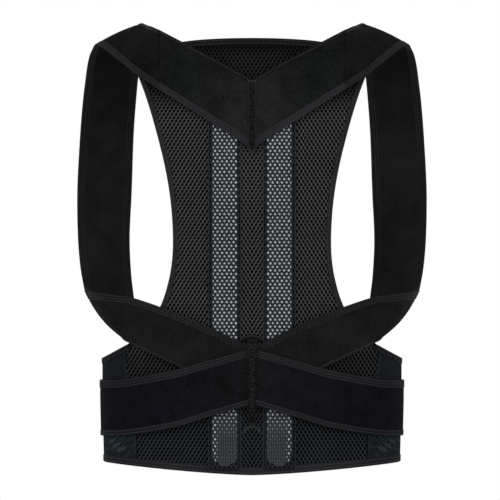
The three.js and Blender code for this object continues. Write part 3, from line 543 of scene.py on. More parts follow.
class Cloth:
    def __init__(self, name, roughness, specular):
        self.material = bpy.data.materials.new(name)
        self.material.use_nodes = True
        self.tree = self.material.node_tree
        self.shader = self.tree.nodes["Principled BSDF"]
        self.shader.inputs["Roughness"].default_value = roughness
        self.shader.inputs["Specular IOR Level"].default_value = specular
        self.place = self.add("ShaderNodeTexCoord", output="Object")
        self.flat = self.add("ShaderNodeUVMap", {"uv_map": "UVMap"})

    def add(self, kind, settings=None, inputs=None, output=0):
        return node(self.tree, kind, settings, inputs, output)

    def noise(self, scale, detail=2.0, rough=0.5, where=None):
        """Noise from 0 to 1 over the piece's place, scale in features for each metre."""
        inputs = {"Vector": where or self.place, "Scale": scale, "Detail": detail, "Roughness": rough}
        return self.add("ShaderNodeTexNoise", None, inputs)

    def split(self, vector):
        """The three values of a vector."""
        made = self.add("ShaderNodeSeparateXYZ", None, {0: vector}).link.node
        return [Socket(self.tree, value) for value in made.outputs]

    def waves(self, coordinate, pitch):
        """0 to 1 and back once every pitch metres."""
        turns = coordinate * (2 * math.pi / pitch)
        return self.add("ShaderNodeMath", {"operation": "SINE"}, {0: turns}) * 0.5 + 0.5

    def aside(self, colour, tint, stray, start, stop):
        """Colour times a tint that sets in out at the sides, from start to stop in metres."""
        x, _, _ = self.split(self.place)
        out = self.between(self.size_of(x) + stray, start, stop)
        return self.tinted(colour, self.tone(out, (1, 1, 1), tint))

    def tone(self, factor, dark, light):
        """Mix of two colours by a factor."""
        ends = {6 + k: end if isinstance(end, Socket) else (*end, 1) for k, end in enumerate((dark, light))}
        return self.add("ShaderNodeMix", {"data_type": "RGBA"}, {0: factor, **ends}, 2)

    def between(self, value, low, high):
        """0 below low, 1 above high, straight from one to the other."""
        return self.add("ShaderNodeMapRange", None, {0: value, 1: low, 2: high, 3: 0.0, 4: 1.0})

    def size_of(self, value):
        return self.add("ShaderNodeMath", {"operation": "ABSOLUTE"}, {0: value})

    def times(self, colour, factor):
        """A colour darkened or lightened by a factor."""
        return self.add("ShaderNodeVectorMath", {"operation": "SCALE"}, {0: colour, "Scale": factor})

    def tinted(self, colour, tint):
        """A colour times another."""
        return self.add("ShaderNodeVectorMath", {"operation": "MULTIPLY"}, {0: colour, 1: tint})

    def finish(self, colour, height=None, depth=0.0, strength=0.0):
        """Links the colour and, where a height is given, its bump of that depth in metres."""
        self.tree.links.new(colour.link, self.shader.inputs["Base Color"])
        if height is not None:
            inputs = {"Height": height, "Distance": depth, "Strength": strength}
            bump = self.add("ShaderNodeBump", None, inputs, "Normal")
            self.tree.links.new(bump.link, self.shader.inputs["Normal"])
        return self.material


def brushed(name, dark, light, patches=14.0, sides=None, shaded=0.0):
    """Brushed loop pile: soft patches, short fibres and fine specks.

    sides is the tint of painted shade out at the sides, and shaded how much painted shade darkens it up
    towards the shoulder's fold.
    """
    cloth = Cloth(name, roughness=0.95, specular=0.02)
    broad = cloth.noise(patches, 3.0, 0.55)
    fibre = cloth.noise(420.0, 3.0, 0.65)
    speck = cloth.noise(1500.0, 2.0, 0.6)
    cloud = cloth.noise(patches * 4, 2.0, 0.5)
    shade = broad * 0.8 + cloud * 0.6 + fibre * 1.1 + speck * 0.4
    colour = cloth.tone(cloth.between(shade, 1.05, 1.85), dark, light)
    # Painted shade out at the sides
    if sides:
        colour = cloth.aside(colour, sides, broad * 0.06, 0.05, 0.13)
    # Painted shade, deepening up towards the shoulder's fold
    if shaded:
        _, _, z = cloth.split(cloth.place)
        colour = cloth.times(colour, 1.0 - cloth.between(z, -0.13, -0.035) * shaded)
    return cloth.finish(colour, fibre * 0.7 + speck * 0.5, 0.0004, 0.55)


def woven(name, dark, light, rib, fold_highlights=0.0, sides=None):
    """Tape or elastic with ribs across its UV run, each thread a little lighter on its crown: a painted
    highlight.

    sides is its tint out at the sides. A painted highlight, as strong as the fold factor, lightens slanting
    folds in a small patch low on each side, where the web puckers: 1 / (1 + r^4) of the distance r from the
    patch's middle.
    """
    cloth = Cloth(name, roughness=0.85, specular=0.06)
    run, wide, _ = cloth.split(cloth.flat)
    ribs = cloth.waves(run, rib)
    cross = cloth.waves(wide, rib * 2.2)
    fuzz = cloth.noise(900.0, 2.0, 0.6)
    broad = cloth.noise(16.0, 2.0)
    # The ribs' part paints a highlight on each thread's crown; fuzz and broad add random tone
    shade = ribs * 0.35 + cross * 0.15 + fuzz * 0.5 + broad * 0.5
    colour = cloth.tone(cloth.between(shade, 0.45, 1.15), dark, light)
    if sides:
        colour = cloth.aside(colour, sides, broad * 0.02, 0.10, 0.155)
    # Painted highlights on slanting folds where the web puckers
    if fold_highlights:
        x, _, z = cloth.split(cloth.place)
        reach = cloth.size_of(x)
        slant = {0: reach * 330.0 + z * 400.0, 1: reach * 60.0 - z * 50.0, 2: 0.0}
        folds = cloth.noise(1.0, 2.0, 0.5, cloth.add("ShaderNodeCombineXYZ", None, slant))
        fold = cloth.between(folds, 0.50, 0.62)
        wide_off, high_off = (reach - 0.143) / 0.015, (z + 0.438) / 0.013
        near = 1.0 / (1.0 + (wide_off * wide_off + high_off * high_off) ** 2.0)
        colour = cloth.times(colour, 1.0 + fold * near * fold_highlights)
    return cloth.finish(colour, ribs * 0.6 + cross * 0.3 + fuzz * 0.4, 0.00025, 0.6)


def strands(name, dark, light):
    """Thread with lint and slow changes of tone."""
    cloth = Cloth(name, roughness=0.7, specular=0.08)
    lint = cloth.noise(1100.0, 2.0, 0.6)
    broad = cloth.noise(22.0, 2.0)
    factor = cloth.between(lint + broad * 0.6, 0.5, 1.1)
    return cloth.finish(cloth.tone(factor, dark, light), lint, 0.0002, 0.5)


def netting(name, dark, light, low=(0.90, 0.98, 1.16), lint=900.0, sparkle=1.0, streaks=0.0):
    """Net strands, with painted light on their crests and painted shade down to the holes, times the UV's
    shade.

    low tints the net below the belts; sparkle spreads the lint's tones further apart. streaks darkens
    the strands along one diagonal of the holes, so that the others run as light slanting lines: they
    fall away from the centre line at the sides, and rise from it in a row of Vs between the stays.
    """
    cloth = Cloth(name, roughness=0.75, specular=0.06)
    crest, shade, _ = cloth.split(cloth.flat)
    x, _, z = cloth.split(cloth.place)
    fine = cloth.noise(lint, 2.0, 0.6)
    broad = cloth.noise(30.0, 2.0)
    # Painted light and shade: the strands lighter on their crests and darker down to the holes
    factor = crest * ((fine - 0.5) * (0.8 * sparkle) + broad * 0.5 + 0.75)
    drop = 0.0 - z
    tint = cloth.tone(cloth.between(drop, 0.34, 0.40), (1, 1, 1), low)
    colour = cloth.tinted(cloth.tone(factor, dark, light), tint)
    if streaks:
        reach, pitch = cloth.size_of(x), NET_PITCH * MM
        fall = z * (NET_PITCH / NET_ROW / 2)
        sides = cloth.waves(reach + fall + pitch / 4, pitch) * cloth.between(reach, 0.030, 0.046)
        middle = cloth.waves(reach - fall + pitch / 4, pitch) * cloth.between(0.0 - reach, -0.030, -0.026)
        dim = (sides + middle * cloth.between(drop, 0.13, 0.24)) * cloth.between(drop, 0.06, 0.11)
        shade = shade * (1.0 + 0.45 * streaks - dim * streaks)
    return cloth.finish(cloth.times(colour, shade), fine, 0.0002, 0.5)


def plastic(name, dark, light):
    """Satin stay with faint lengthwise brushing, dulled low down except along its outer edge."""
    cloth = Cloth(name, roughness=0.42, specular=0.5)
    x, _, z = cloth.split(cloth.place)
    drawn = cloth.add("ShaderNodeCombineXYZ", None, {0: x * 1400.0, 1: 0.0, 2: z * 30.0})
    grain = cloth.noise(1.0, 2.0, 0.6, drawn)
    edge = cloth.between(cloth.size_of(x) - STAY_SPACING / 2 * MM, 0.0072, 0.0092)
    dull = cloth.between(0.0 - z, 0.402, 0.435) * (1.0 - edge)
    return cloth.finish(cloth.times(cloth.tone(grain, dark, light), 1.0 - dull * 0.84), grain, 0.00008, 0.3)


# Finishes: a dark and a light tone each, in linear red, green and blue

NET = netting("net strands", (0.0032, 0.0034, 0.0036), (0.0510, 0.0540, 0.0520), streaks=0.75)
SLEEVE_NET = netting("sleeve net strands", (0.0050, 0.0060, 0.0068), (0.0240, 0.0280, 0.0305),
                     low=(1.05, 0.99, 1.0))
RIBBON = netting("ribbon net", (0.0006, 0.0007, 0.0007), (0.0215, 0.0230, 0.0220), low=(1, 1, 1),
                 lint=380.0, sparkle=6.5)
BACKING = brushed("net backing", (0.0026, 0.0027, 0.0030), (0.0062, 0.0065, 0.0070))
TAPE_RIB = 0.0011
TAPE = woven("edge tape", (0.0064, 0.0059, 0.0072), (0.0184, 0.0171, 0.0202), TAPE_RIB,
             sides=(0.46, 0.49, 0.58))
MID_TAPE = woven("belt edge tape", (0.0044, 0.0042, 0.0051), (0.0126, 0.0121, 0.0142), TAPE_RIB,
                 sides=(0.44, 0.47, 0.56))
STRAP_TAPE = woven("strap edge tape", (0.0030, 0.0029, 0.0034), (0.0086, 0.0084, 0.0096), TAPE_RIB)
# A darker copy of the edge tape for the top edge and the yoke's upper edge: painted shade up by the shoulders
DARK_TAPE = woven("dark edge tape", (0.0022, 0.0022, 0.0029), (0.0064, 0.0063, 0.0082), TAPE_RIB)
# A lighter copy of the strap tape for the straps' inner faces: painted light
INNER_TAPE = woven("strap edge tape, inner face", (0.0042, 0.0042, 0.0049), (0.0116, 0.0115, 0.0131), 0.0014)
BRIDGE = woven("loop bridge tape", (0.0008, 0.0008, 0.0010), (0.0034, 0.0034, 0.0040), TAPE_RIB)
# Yoke pile darker out towards the shoulders and up towards the fold: painted shade
YOKE = brushed("yoke pile", (0.0034, 0.0040, 0.0037), (0.0143, 0.0154, 0.0145), sides=(0.72, 0.70, 0.80),
               shaded=0.2)
# shaded: painted shade up towards the shoulder's fold
STRAP_PILE = brushed("strap pile", (0.0030, 0.0032, 0.0032), (0.0098, 0.0101, 0.0102), shaded=0.25)
# A lighter copy of the strap pile for the straps' inner faces, painted light where the lamps reach them less;
# shaded adds painted shade by the shoulder's fold
STRAP_INNER = brushed("strap inner face", (0.0056, 0.0056, 0.0063), (0.0140, 0.0140, 0.0154), shaded=0.45)
# sides: painted shade, darker and bluer out where the belt turns round the sides
BELT = brushed("belt knit", (0.0026, 0.0026, 0.0030), (0.0080, 0.0080, 0.0094), patches=20.0,
               sides=(0.66, 0.70, 0.90))
# Painted highlights on the slanting folds low on each side
ELASTIC = woven("side elastic", (0.0020, 0.0031, 0.0041), (0.0068, 0.0092, 0.0114), 0.0013, fold_highlights=3.6)
FRONT = brushed("front panel pile", (0.0030, 0.0031, 0.0033), (0.0095, 0.0100, 0.0104))
STAY = plastic("stay", (0.265, 0.292, 0.318), (0.40, 0.43, 0.455))
THREAD = strands("thread", (0.018, 0.0175, 0.0205), (0.060, 0.058, 0.066))
LIGHT_THREAD = strands("light thread", (0.035, 0.036, 0.037), (0.115, 0.118, 0.118))
DARK_THREAD = strands("dark thread", (0.012, 0.0120, 0.0135), (0.040, 0.040, 0.044))


# Pieces

SIDES = (("right", False), ("left", True))


def groove(*places, deep=0.28):
    """Dents along stitch lines at places across, in millimetres: a bell curve for each."""
    def relief(w):
        return -deep * sum(np.exp(-((w - place) / 0.7) ** 2) for place in places)
    return relief


def taped(prefix, point, us, width, cloth, edges, wall, inner=None):
    """A strap's cloth with its two edge tapes and their stitch lines, on both sides.

    The cloth reaches a little way under its tapes, by the share under of its width.
    cloth: material, slot and solid's name. edges: for the edge at w 0 and the one at w 1, its tape's
    size, its stitch lines measured in from the edge, its material and the solid's name. inner: the
    materials of the inner faces of cloth and tapes, where they differ: lighter copies, painted light.
    """
    low, high = edges
    under = 0.012
    section = profile(low[0] / width - under, 1 - high[0] / width + under, width, 0.1, wall, 14)
    for side, mirrored in SIDES:
        piece = band(f"{prefix}_cloth_{side}", point, us, section, width, mirrored)
        dress(piece, cloth[0], cloth[1], f"{cloth[2]}_{side}", inside=inner and inner[0])
        lines = []
        for (size, seams, material, solid), first in ((low, True), (high, False)):
            w0, w1 = (0.0, size / width) if first else (1 - size / width, 1.0)
            places = [s if first else width - s for s in seams]
            folded = profile(w0, w1, width, 0.0, TAPE_WALL, 12, groove(*places), soft=0.9)
            edge = f"{prefix}_{'low' if first else 'high'}_edge_{side}"
            piece = band(edge, point, us, folded, width, mirrored)
            dress(piece, material, "tape", f"{solid}_{side}", inside=inner and inner[1])
            lines += [line_on(point, us, place / width, TAPE_WALL - 0.12) for place in places]
        dress(stitches(f"{prefix}_stitches_{side}", lines, mirrored=mirrored), THREAD, "tape")


def straps():
    """Shoulder straps, yoke and belts.

    The straps' inner faces have stitch lines between the two stations where they are off the body.
    """
    us = np.linspace(0, STRAP_END, 221)
    taped("strap", strap, us, STRAP_WIDTH, (STRAP_PILE, "strap_cloth", "shoulder_strap"),
          ((STRAP_TAPE_WIDE, (1.3, 4.2, 7.2), STRAP_TAPE, "strap_loop_tape"),
           (STRAP_TAPE_SLIM, (1.2, 3.2), STRAP_TAPE, "strap_outer_tape")), STRAP_WALL,
          (STRAP_INNER, INNER_TAPE))
    first_bare, last_bare = 2.2, 14.4
    bare = np.linspace(first_bare, last_bare, 400)
    for side, mirrored in SIDES:
        lines = []
        for w in (1.4, 4.6, 7.4, 52.6, 55.2, 58.4):
            base, out = line_on(strap, bare, w / STRAP_WIDTH, 0.1, 800)
            lines.append((base, -out))
        piece = stitches(f"strap_inner_stitches_{side}", lines, radius=0.42, mirrored=mirrored)
        dress(piece, DARK_THREAD, "tape")
    xs = np.linspace(CROSS_GAP, YOKE_REACH, 49)
    taped("yoke", yoke, xs, YOKE_SEAM, (YOKE, "yoke_cloth", "yoke"),
          ((STRAP_TAPE_WIDE, (1.6, 4.4, 7.4), TAPE, "yoke_lower_tape"),
           (STRAP_TAPE_SLIM, (2.1,), DARK_TAPE, "yoke_upper_tape")), STRAP_WALL)
    end = math.pi - math.asin((BELT_FRONT_STOP / WAIST_HALF_WIDTH) ** (SQUARENESS / 2))
    start = float(angle_of(CROSS_GAP, -CROSS_DROP))
    taped("belt", belt, np.linspace(start, end, 121), BELT_WIDTH, (BELT, "belt_cloth", "cross_belt"),
          ((BELT_TAPE_FOOT, (1.5, 4.8), MID_TAPE, "belt_lower_tape"),
           (BELT_TAPE_TOP, (1.6, 4.4, 7.4), MID_TAPE, "belt_upper_tape")), BELT_WALL)


def panel_outline(x, z, inset):
    """True inside the panel's tapes' outer edges, by at least inset."""
    reach = np.abs(x) / WAIST_HALF_WIDTH
    head = np.where(np.abs(x) > ARMHOLE[0, 1] * SEAM_HALF_TOP, waist_top_at(reach), top_edge(x))
    return (np.abs(x) < panel_half(z) - inset) & (z > hem_at(reach) + inset) & (z < head - inset)


def panel():
    """Backing sheet, the back's net in front of it, and a net sleeve over each stay."""
    stay_foot, stay_head = HEM_Z + STAY_FOOT_RISE, -STAY_TOP_DROP
    centre = STAY_SPACING / 2
    inset, tuck_under = 2.2, 1.5

    def keep(x, z):
        """Just inside the edges and a little way under the elastics, and not where a stay covers it."""
        reach = np.abs(x) / WAIST_HALF_WIDTH
        behind_stay = (np.abs(np.abs(x) - centre) < 11) & (z > stay_foot + 6) & (z < stay_head - 4)
        waist_band = (z < waist_top_at(reach) - inset) & (z > hem_at(reach) + inset)
        tucked = (np.abs(x) < seam_at(z) + tuck_under) & waist_band
        return (panel_outline(x, z, inset) | tucked) & ~behind_stay

    def net_point(x, z, off):
        """On the back, and 0.6 mm deeper under the elastics' edges."""
        tuck = smooth(np.abs(x) - seam_at(z), -2.6, -0.8) * smooth(-z, -WAIST_Z, 2 - WAIST_Z)
        return back(x, z, off - 0.6 * tuck)

    def hole(x, z):
        """Upright under the stays, longer and slanting by 27 degrees at the sides and in the middle."""
        reach = np.abs(x)
        side, middle = smooth(reach, 42, 56), smooth(reach, 0, 3) * (1 - smooth(reach, 20, 26))
        slant = side + middle
        tilt = math.pi / 2 + np.sign(x) * (side - middle) * math.radians(27)
        return mix(1.56, 1.96, slant), mix(1.14, 0.88, slant), tilt

    def shade(x, z):
        """Full between yoke and crossing, dim below the crossing, and dimmer in the neck's shadow."""
        neck = 0.08 + 0.16 * smooth(z, -24, -34) * (1 - 0.5 * smooth(np.abs(x), 22, 46))
        below_neck = mix(0.46, 1.0, smooth(z, -352, -330))
        return mix(below_neck, neck, smooth(z, -104, -60))

    x_range = (-SEAM_HALF_TOP - 2 * NET_PITCH, SEAM_HALF_TOP + 2 * NET_PITCH)
    whole = net("back_net", keep, net_point, x_range, (HEM_Z, 0), NET_PITCH, NET_ROW, hole, -1.3, 0.0, shade)
    dress(whole, NET, "net", "back_panel")

    def lining(v, u, off):
        """Spread between the panel's edges at each height, bent at foot and head to their curves.

        It ends 3 mm inside the hem and the armholes and 2 mm below the top, and reaches 2.5 mm under
        the elastics.
        """
        z_side = mix(HEM_Z + HEM_ARCH, LINING_TOP, v)
        half = panel_half(z_side) + mix(2.5, -LINING_INSET, smooth(z_side, WAIST_Z - 6, WAIST_Z))
        x = (2 * u - 1) * half
        foot = hem_at(np.abs(x) / WAIST_HALF_WIDTH) - hem_at(half / WAIST_HALF_WIDTH)
        foot = foot * (1 - np.clip(v / 0.25, 0, 1))
        head = top_edge(x) - 2.0 - (LINING_TOP - LINING_INSET)
        head = head * np.clip((v - 0.9) / 0.1, 0, 1)
        return back(x, z_side + LINING_INSET * (1 - 2 * v) + foot + head, off)

    w, off = profile(0.0, 1.0, LINING_WIDTH, -PANEL_WALL, -PANEL_WALL + 0.5, 48)
    lining_piece = band("back_lining", lining, np.linspace(0, 1, 90), (1 - w, off), LINING_WIDTH)
    dress(lining_piece, BACKING, "net")

    def sleeve_point(x, z, off):
        """Over the stay, and down to the panel beside it."""
        drop = smooth(np.abs(np.abs(x) - centre), 12.8, 16.6) * (SLEEVE_LAYER - 0.1)
        return back(x, z, off - drop)

    def density(x, z):
        """1 on the lower stays, where the net is doubled, falling off to the stays' outer edges."""
        return (1 - smooth(z, -428, -398)) * (1 - 0.75 * smooth(np.abs(x) - centre, 6, 10))

    def on_stay(x, z):
        """1 over a stay and its round foot, 0 beside it."""
        radius = STAY_WIDTH / 2
        below = np.maximum(stay_foot + radius - z, 0)
        return 1 - smooth(np.hypot(np.abs(x) - centre, below), radius - 0.6, radius + 1.2)

    def sleeve_hole(x, z):
        size = mix(0.62, mix(1.0, 0.74, density(x, z)), on_stay(x, z))
        return 1.43 * size, 1.30 * size, math.pi / 2

    def sleeve_shade(x, z):
        return mix(0.6, mix(1.0, 1.6, density(x, z)), on_stay(x, z))

    for side, mirrored in SIDES:
        sign = -1 if mirrored else 1

        def keep_sleeve(x, z, sign=sign):
            inside = np.abs(x - sign * centre) < SLEEVE_WIDTH / 2 - 0.4
            return inside & (z > hem_at(np.abs(x) / WAIST_HALF_WIDTH) + 3) & (z < stay_head)

        x_range = sorted((sign * (centre - SLEEVE_WIDTH / 2), sign * (centre + SLEEVE_WIDTH / 2)))
        piece = net(f"stay_net_{side}", keep_sleeve, sleeve_point, x_range, (HEM_Z, stay_head), SLEEVE_PITCH,
                    SLEEVE_ROW, sleeve_hole, SLEEVE_LAYER - 0.1, SLEEVE_LAYER + 0.8, sleeve_shade)
        dress(piece, SLEEVE_NET, "net", f"stay_sleeve_{side}")
        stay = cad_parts[f"stay_{side}"].data.materials
        stay.clear()
        stay.append(STAY)


def channel_seams():
    """Zigzag stitches down both sides of each stay's net sleeve."""
    levels = np.linspace(HEM_Z + HEM_TAPE, -STAY_TOP_DROP - 2, 60)
    beside, step = 15.4, 1.7
    for side, mirrored in SIDES:
        lines = []
        for edge in (-1, 1):
            middle = STAY_SPACING / 2 + edge * beside

            def column(z, w, off, middle=middle):
                return back(middle + w, z, off)

            for shift in (-1.3, 1.3):
                lines.append(zigzag_on(column, levels, shift, 0.9, 1.2, step))
        piece = stitches(f"channel_stitches_{side}", lines, step, 2.2, 0.34, mirrored)
        dress(piece, DARK_THREAD, "tape")


def panel_tapes():
    """Folded tapes along the top, hem, waist and armholes, standing a little proud of both faces."""
    inner, outer = -PANEL_WALL - EDGE_PROUD, EDGE_PROUD
    end_half = PANEL_TOP_HALF - ARMHOLE_TAPE

    def top(x, v, off):
        return back(x, top_edge(x) - TOP_TAPE * (1 - v), off)

    def hem(angle, v, off):
        return ring(angle, hem_at(reach_of(angle)) + HEM_TAPE * v, off)

    def waist(angle, v, off):
        return ring(angle, waist_top_at(reach_of(angle)) - WAIST_TAPE * (1 - v), off)

    def armhole(z, v, off):
        """As wide as the tape square to its slant, from the slope over 2 mm up and down."""
        step = 2.0
        low, high = np.maximum(z - step, WAIST_Z), np.minimum(z + step, -ARMHOLE_DROP)
        slope = (armhole_half(high) - armhole_half(low)) / (high - low)
        return back(armhole_half(z) - (1 - v) * ARMHOLE_TAPE * np.hypot(1, slope), z, off)

    def tape(name, point, us, width, seams, nodes, mirrored=False, material=TAPE):
        section = profile(0, 1, width, inner, outer, 10, groove(*seams), soft=1.6)
        dress(band(name, point, us, section, width, mirrored), material, "tape", *nodes)
        lines = [line_on(point, us, s / width, outer - 0.1) for s in seams]
        dress(stitches(f"{name}_stitches", lines, mirrored=mirrored), THREAD, "tape")

    xs, angles = np.linspace(-end_half, end_half, 61), np.linspace(-ELASTIC_END, ELASTIC_END, 181)
    tape("top_edge", top, xs, TOP_TAPE, (1.8, 5.2), ["top_tape"], material=DARK_TAPE)
    tape("hem_edge", hem, angles, HEM_TAPE, (2.2, 6.2), ["hem_tape"])
    start = float(angle_of(ARMHOLE[0, 1] * SEAM_HALF_TOP, WAIST_Z))
    for side, mirrored in SIDES:
        tape(f"waist_edge_{side}", waist, np.linspace(start, ELASTIC_END, 61), WAIST_TAPE, (1.8, 5.4),
             [f"waist_tape_{side}"], mirrored, MID_TAPE)
        levels = np.linspace(-ARMHOLE_DROP, WAIST_Z + 0.4, 121)
        tape(f"armhole_edge_{side}", lambda z, v, off: armhole(z, 1 - v, off), levels, ARMHOLE_TAPE,
             (1.6, 4.2), [f"armhole_tape_{side}"], mirrored)


def sides_and_front():
    """Ribbed side elastics, plain front panels that lap, and the flat patch."""
    def elastic(u, v, off):
        """From just inside the side seam round to the front panels, between hem and waist tapes."""
        up = v * (WAIST_Z - HEM_Z - ELASTIC_FALL) / (WAIST_Z - HEM_Z)
        half = seam_half(up) - 0.6
        seam = angle_of(half, HEM_Z + (WAIST_Z - HEM_Z) * up)
        angle = mix(seam, ELASTIC_END, u)
        reach = reach_of(angle)
        return ring(angle, mix(hem_at(reach) + 3.0, waist_top_at(reach) - 3.0, v), off)

    def lap(lift):
        """Front panel's surface, lifted off the form towards the middle so that one laps the other."""
        def point(angle, v, off):
            z = mix(float(hem_at(1.0)), FRONT_TOP_Z, v)
            raised = lift * (1 - smooth(ring(angle, z, 0.0)[..., 0], FRONT_LAP, BELT_FRONT_STOP))
            return ring(angle, z, off + raised)
        return point

    def ribs(u, w):
        """Fine ribs across the web, and slanting gathers where it puckers low down beside the seam."""
        pull = np.exp(-((w - 20) / 13) ** 2) * np.exp(-((u - 0.10) / 0.09) ** 2)
        gather = 0.7 * pull * np.sin(0.55 * w - 105 * u)
        return 0.12 * np.sin(u * 82 * 2 * math.pi) + gather

    for side, mirrored in SIDES:
        section = profile(0, 1, ELASTIC_HEIGHT, -2.4, 0.0, 44)
        us = np.linspace(0, 1, 320)
        piece = band(f"side_elastic_web_{side}", elastic, us, section, ELASTIC_HEIGHT, mirrored, ribs)
        dress(piece, ELASTIC, "elastic", f"side_elastic_{side}")
        up = np.linspace(0.08, 0.94, 60)
        lines = [line_on(lambda v, u, off: elastic(u, v, off), up, u, 0.1) for u in (0.006, 0.024)]
        dress(stitches(f"side_seam_stitches_{side}", lines, mirrored=mirrored), DARK_THREAD, "tape")
    lap_end = math.pi + math.asin((FRONT_LAP / WAIST_HALF_WIDTH) ** (SQUARENESS / 2))
    over = 2.9
    for side, mirrored in SIDES:
        flap = lap(0.0 if mirrored else over)
        section = profile(0, 1, FLAP_HEIGHT, -2.5, 0.0, 24, groove(3.0, FLAP_HEIGHT - 3.0), soft=1.2)
        us = np.linspace(ELASTIC_END + 0.004, lap_end, 90)
        piece = band(f"front_flap_{side}", flap, us, section, FLAP_HEIGHT, mirrored)
        dress(piece, FRONT, "front_cloth", f"front_panel_{side}")
        places = (3.0, 5.4, FLAP_HEIGHT - 5.4, FLAP_HEIGHT - 3.0)
        lines = [line_on(flap, us, w / FLAP_HEIGHT, -0.15) for w in places]
        for angle in (ELASTIC_END + 0.03, lap_end - 0.02, lap_end - 0.036):
            lines.append(line_on(lambda v, u, off: flap(u, v, off), np.linspace(0.03, 0.97, 60), angle, 0.12))
        dress(stitches(f"front_flap_{side}_stitches", lines, mirrored=mirrored), THREAD, "tape")
    low, high = (np.array(c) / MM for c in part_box("front_patch"))
    tall, thick = high[2] - low[2], high[1] - low[1]

    def patch(x, v, off):
        """Flat plate over the solid's box, run from +x to -x so that it faces the front."""
        z = mix(low[2], high[2], v)
        x, z, off = np.broadcast_arrays(x, z, off)
        return np.stack([-x, low[1] + off, z], -1)

    section = profile(0, 1, tall, 0.0, thick, 20, groove(2.5, tall - 2.5, deep=0.2), 1.0)
    piece = band("front_loop_patch", patch, np.linspace(low[0], high[0], 30), section, tall)
    dress(piece, BELT, "belt_cloth", "front_patch")


def centre_strips():
    """Net ribbons over the two joins, with dotted seams, bar tacks and a stitched arch at each end."""
    seam_foot, seam_head = -YOKE_DROP - YOKE_CENTRE - TIP_DIP, -YOKE_DROP
    loop_foot, loop_head = -CROSS_DROP - BELT_WIDTH - LOOP_STRIP_UNDER, -CROSS_DROP + LOOP_STRIP_OVER

    def seam(x, z, off):
        """On the yoke, stepping down to the panel at the foot."""
        rise = smooth(z - seam_foot, -0.6, 2.8)
        return back(x, z, off + mix(0.5, STRAP_LAYER + TAPE_WALL + 0.2, rise))

    def loop(x, z, off):
        """Over the belts, easing down to the panel at both ends."""
        falling = smooth(loop_head - z, 0, LOOP_STRIP_OVER - 2)
        rising = smooth(z - loop_foot, 0, LOOP_STRIP_UNDER - 4)
        return back(x, z, off + mix(0.4, LOOP_LAYER - 0.2, np.minimum(falling, rising)))

    def seam_half_width(z):
        return mix(2.0, SEAM_STRIP_WIDTH / 2, smooth(z - seam_foot, 0, 6))

    def loop_half_width(z):
        return mix(3.9, LOOP_STRIP_WIDTH / 2, smooth(z, -404, -350))

    def seam_shade(x, z):
        return np.full(np.shape(z), 0.85)

    def loop_shade(x, z):
        """Painted shade under the arch at the head, and dim below the belts."""
        # Painted shade where the bridge tape arches over the ribbon's head
        under_arch = smooth(z, loop_head - 6.5, loop_head - 3.5)
        return mix(0.3, 1.0, smooth(z, -414, -398)) * mix(1.0, 0.25, under_arch)

    def hole(x, z):
        return 0.86, 0.62, math.pi / 2

    ribbons = (
        ("seam_ribbon", seam, seam_foot, seam_head, seam_half_width, seam_shade, THREAD, "seam_strip"),
        ("loop_ribbon", loop, loop_foot, loop_head, loop_half_width, loop_shade, DARK_THREAD, "loop_strip"))
    for name, point, foot, head, half, shade, thread, solid in ribbons:
        def keep(x, z, foot=foot, head=head, half=half):
            return (np.abs(x) <= half(z) + 0.2) & (z >= foot) & (z <= head)

        piece = net(name, keep, point, (-6, 6), (foot, head), RIBBON_PITCH, RIBBON_ROW, hole, 0.0, 0.9, shade)
        dress(piece, RIBBON, "net", solid)
        tacks = []
        for level in (foot + 1.4, foot + 2.6, head - 1.4, head - 2.8):
            wide = float(half(np.array(level))) + 0.2
            tacks.append(line_on(point, np.linspace(-wide, wide, 9), level, 1.0, 40))
        dress(stitches(f"{name}_tacks", tacks, 1.5, 1.3, 0.36), thread, "tape")
    levels = np.linspace(seam_foot + 1, seam_head - 1, 40)
    lines = [line_on(lambda z, w, off, s=s: seam(s * (seam_half_width(z) - 0.9), z, off), levels, 0, 0.8)
             for s in (-1, 1)]
    dress(stitches("seam_ribbon_stitches", lines, 1.6, 1.3, 0.34), DARK_THREAD, "tape")
    end_arches(loop_head, loop_foot)


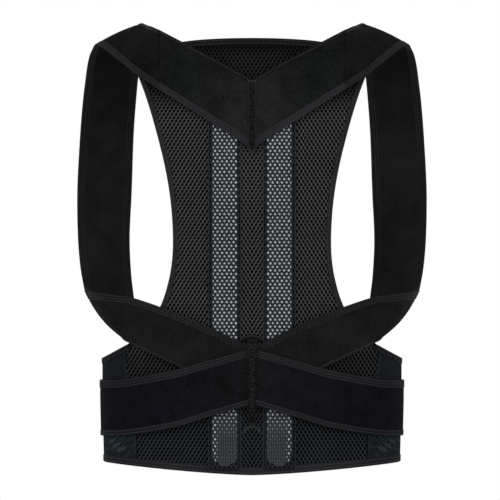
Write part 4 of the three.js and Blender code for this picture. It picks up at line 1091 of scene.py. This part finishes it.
def end_arches(head, foot):
    """Tape arch over the loop ribbon's head, and two arches of thread below its foot."""
    reach, tall, foot_reach = 10.0, 5.6, 9.0

    def bridge(x, v, off):
        """Falls by 3 mm, and down to the panel, with the square of the way out."""
        out = (x / reach) ** 2
        return back(x, head + 4.0 - 3.0 * out - tall * (1 - v), off + 0.5 * (1 - out))

    def below(x, w, off):
        """Falls by 6 mm with the square of the way out."""
        return back(x, w - 6.0 * (x / foot_reach) ** 2, off)

    section = profile(0, 1, tall, 0.1, 1.3, 8, soft=0.6)
    dress(band("loop_bridge", bridge, np.linspace(-reach, reach, 41), section, tall), BRIDGE, "tape")
    arches = [line_on(bridge, np.linspace(0.6 - reach, reach - 0.6, 41), v, 1.25, 80) for v in (0.66, 0.86)]
    dress(stitches("loop_bridge_stitches", arches, 1.8, 1.5, 0.32), THREAD, "tape")
    xs = np.linspace(-foot_reach, foot_reach, 41)
    arches = [line_on(below, xs, z, 0.7, 80) for z in (foot + 0.4, foot - 1.4)]
    dress(stitches("loop_foot_stitches", arches, 2.0, 1.2, 0.42), LIGHT_THREAD, "tape")


# Stage

def area_light(name, place, power):
    """Soft square light of 1.2 m that looks at the middle of the back."""
    data = bpy.data.lights.new(name, "AREA")
    data.shape, data.size, data.energy = "SQUARE", 1.2, power
    lamp = bpy.data.objects.new(name, data)
    bpy.context.scene.collection.objects.link(lamp)
    lamp.location = place
    lamp.rotation_mode = "QUATERNION"
    lamp.rotation_quaternion = (Vector((0, 0, -0.2)) - Vector(place)).to_track_quat("-Z", "Y")


def stage():
    """Pale level floor under an even white surround, with two soft lights from behind the back."""
    half, level = 8, -0.95
    corners = ((-half, -half), (half, -half), (half, half), (-half, half))
    points = np.array([(x, y, level) for x, y in corners]) / MM
    floor = mesh_object("floor", points, [[0, 1, 2, 3]], smooth_faces=False)
    pale = Cloth("pale floor", roughness=0.9, specular=0.1)
    pale.finish(pale.tone(pale.noise(2.0), (0.80, 0.80, 0.80), (0.84, 0.84, 0.84)))
    floor.data.materials.append(pale.material)
    world = bpy.data.worlds.new("studio")
    world.use_nodes = True
    surround = world.node_tree.nodes["Background"].inputs
    surround["Color"].default_value, surround["Strength"].default_value = (1, 1, 1, 1), 1.0
    bpy.context.scene.world = world
    area_light("key", (-1.5, -2.2, 1.2), 27)
    area_light("fill", (1.6, -2.3, 0.7), 17)


def camera():
    """Level, far camera: the photograph's frame shows 525 mm at the middle of the back."""
    distance, view_width, sensor = 14.0, 0.525, 36.0
    middle_x, middle_y, middle_z = -0.0021, -0.06, -0.2363
    data = bpy.data.cameras.new("camera")
    data.sensor_width, data.lens = sensor, sensor * (distance + middle_y) / view_width
    data.clip_start, data.clip_end = 0.1, 50
    eye = bpy.data.objects.new("camera", data)
    bpy.context.scene.collection.objects.link(eye)
    eye.location = (middle_x, -distance, middle_z)
    eye.rotation_euler = (math.pi / 2, 0, 0)
    bpy.context.scene.camera = eye
    bpy.context.scene.view_settings.view_transform = "Standard"


camera()
stage()
panel()
channel_seams()
panel_tapes()
straps()
sides_and_front()
centre_strips()
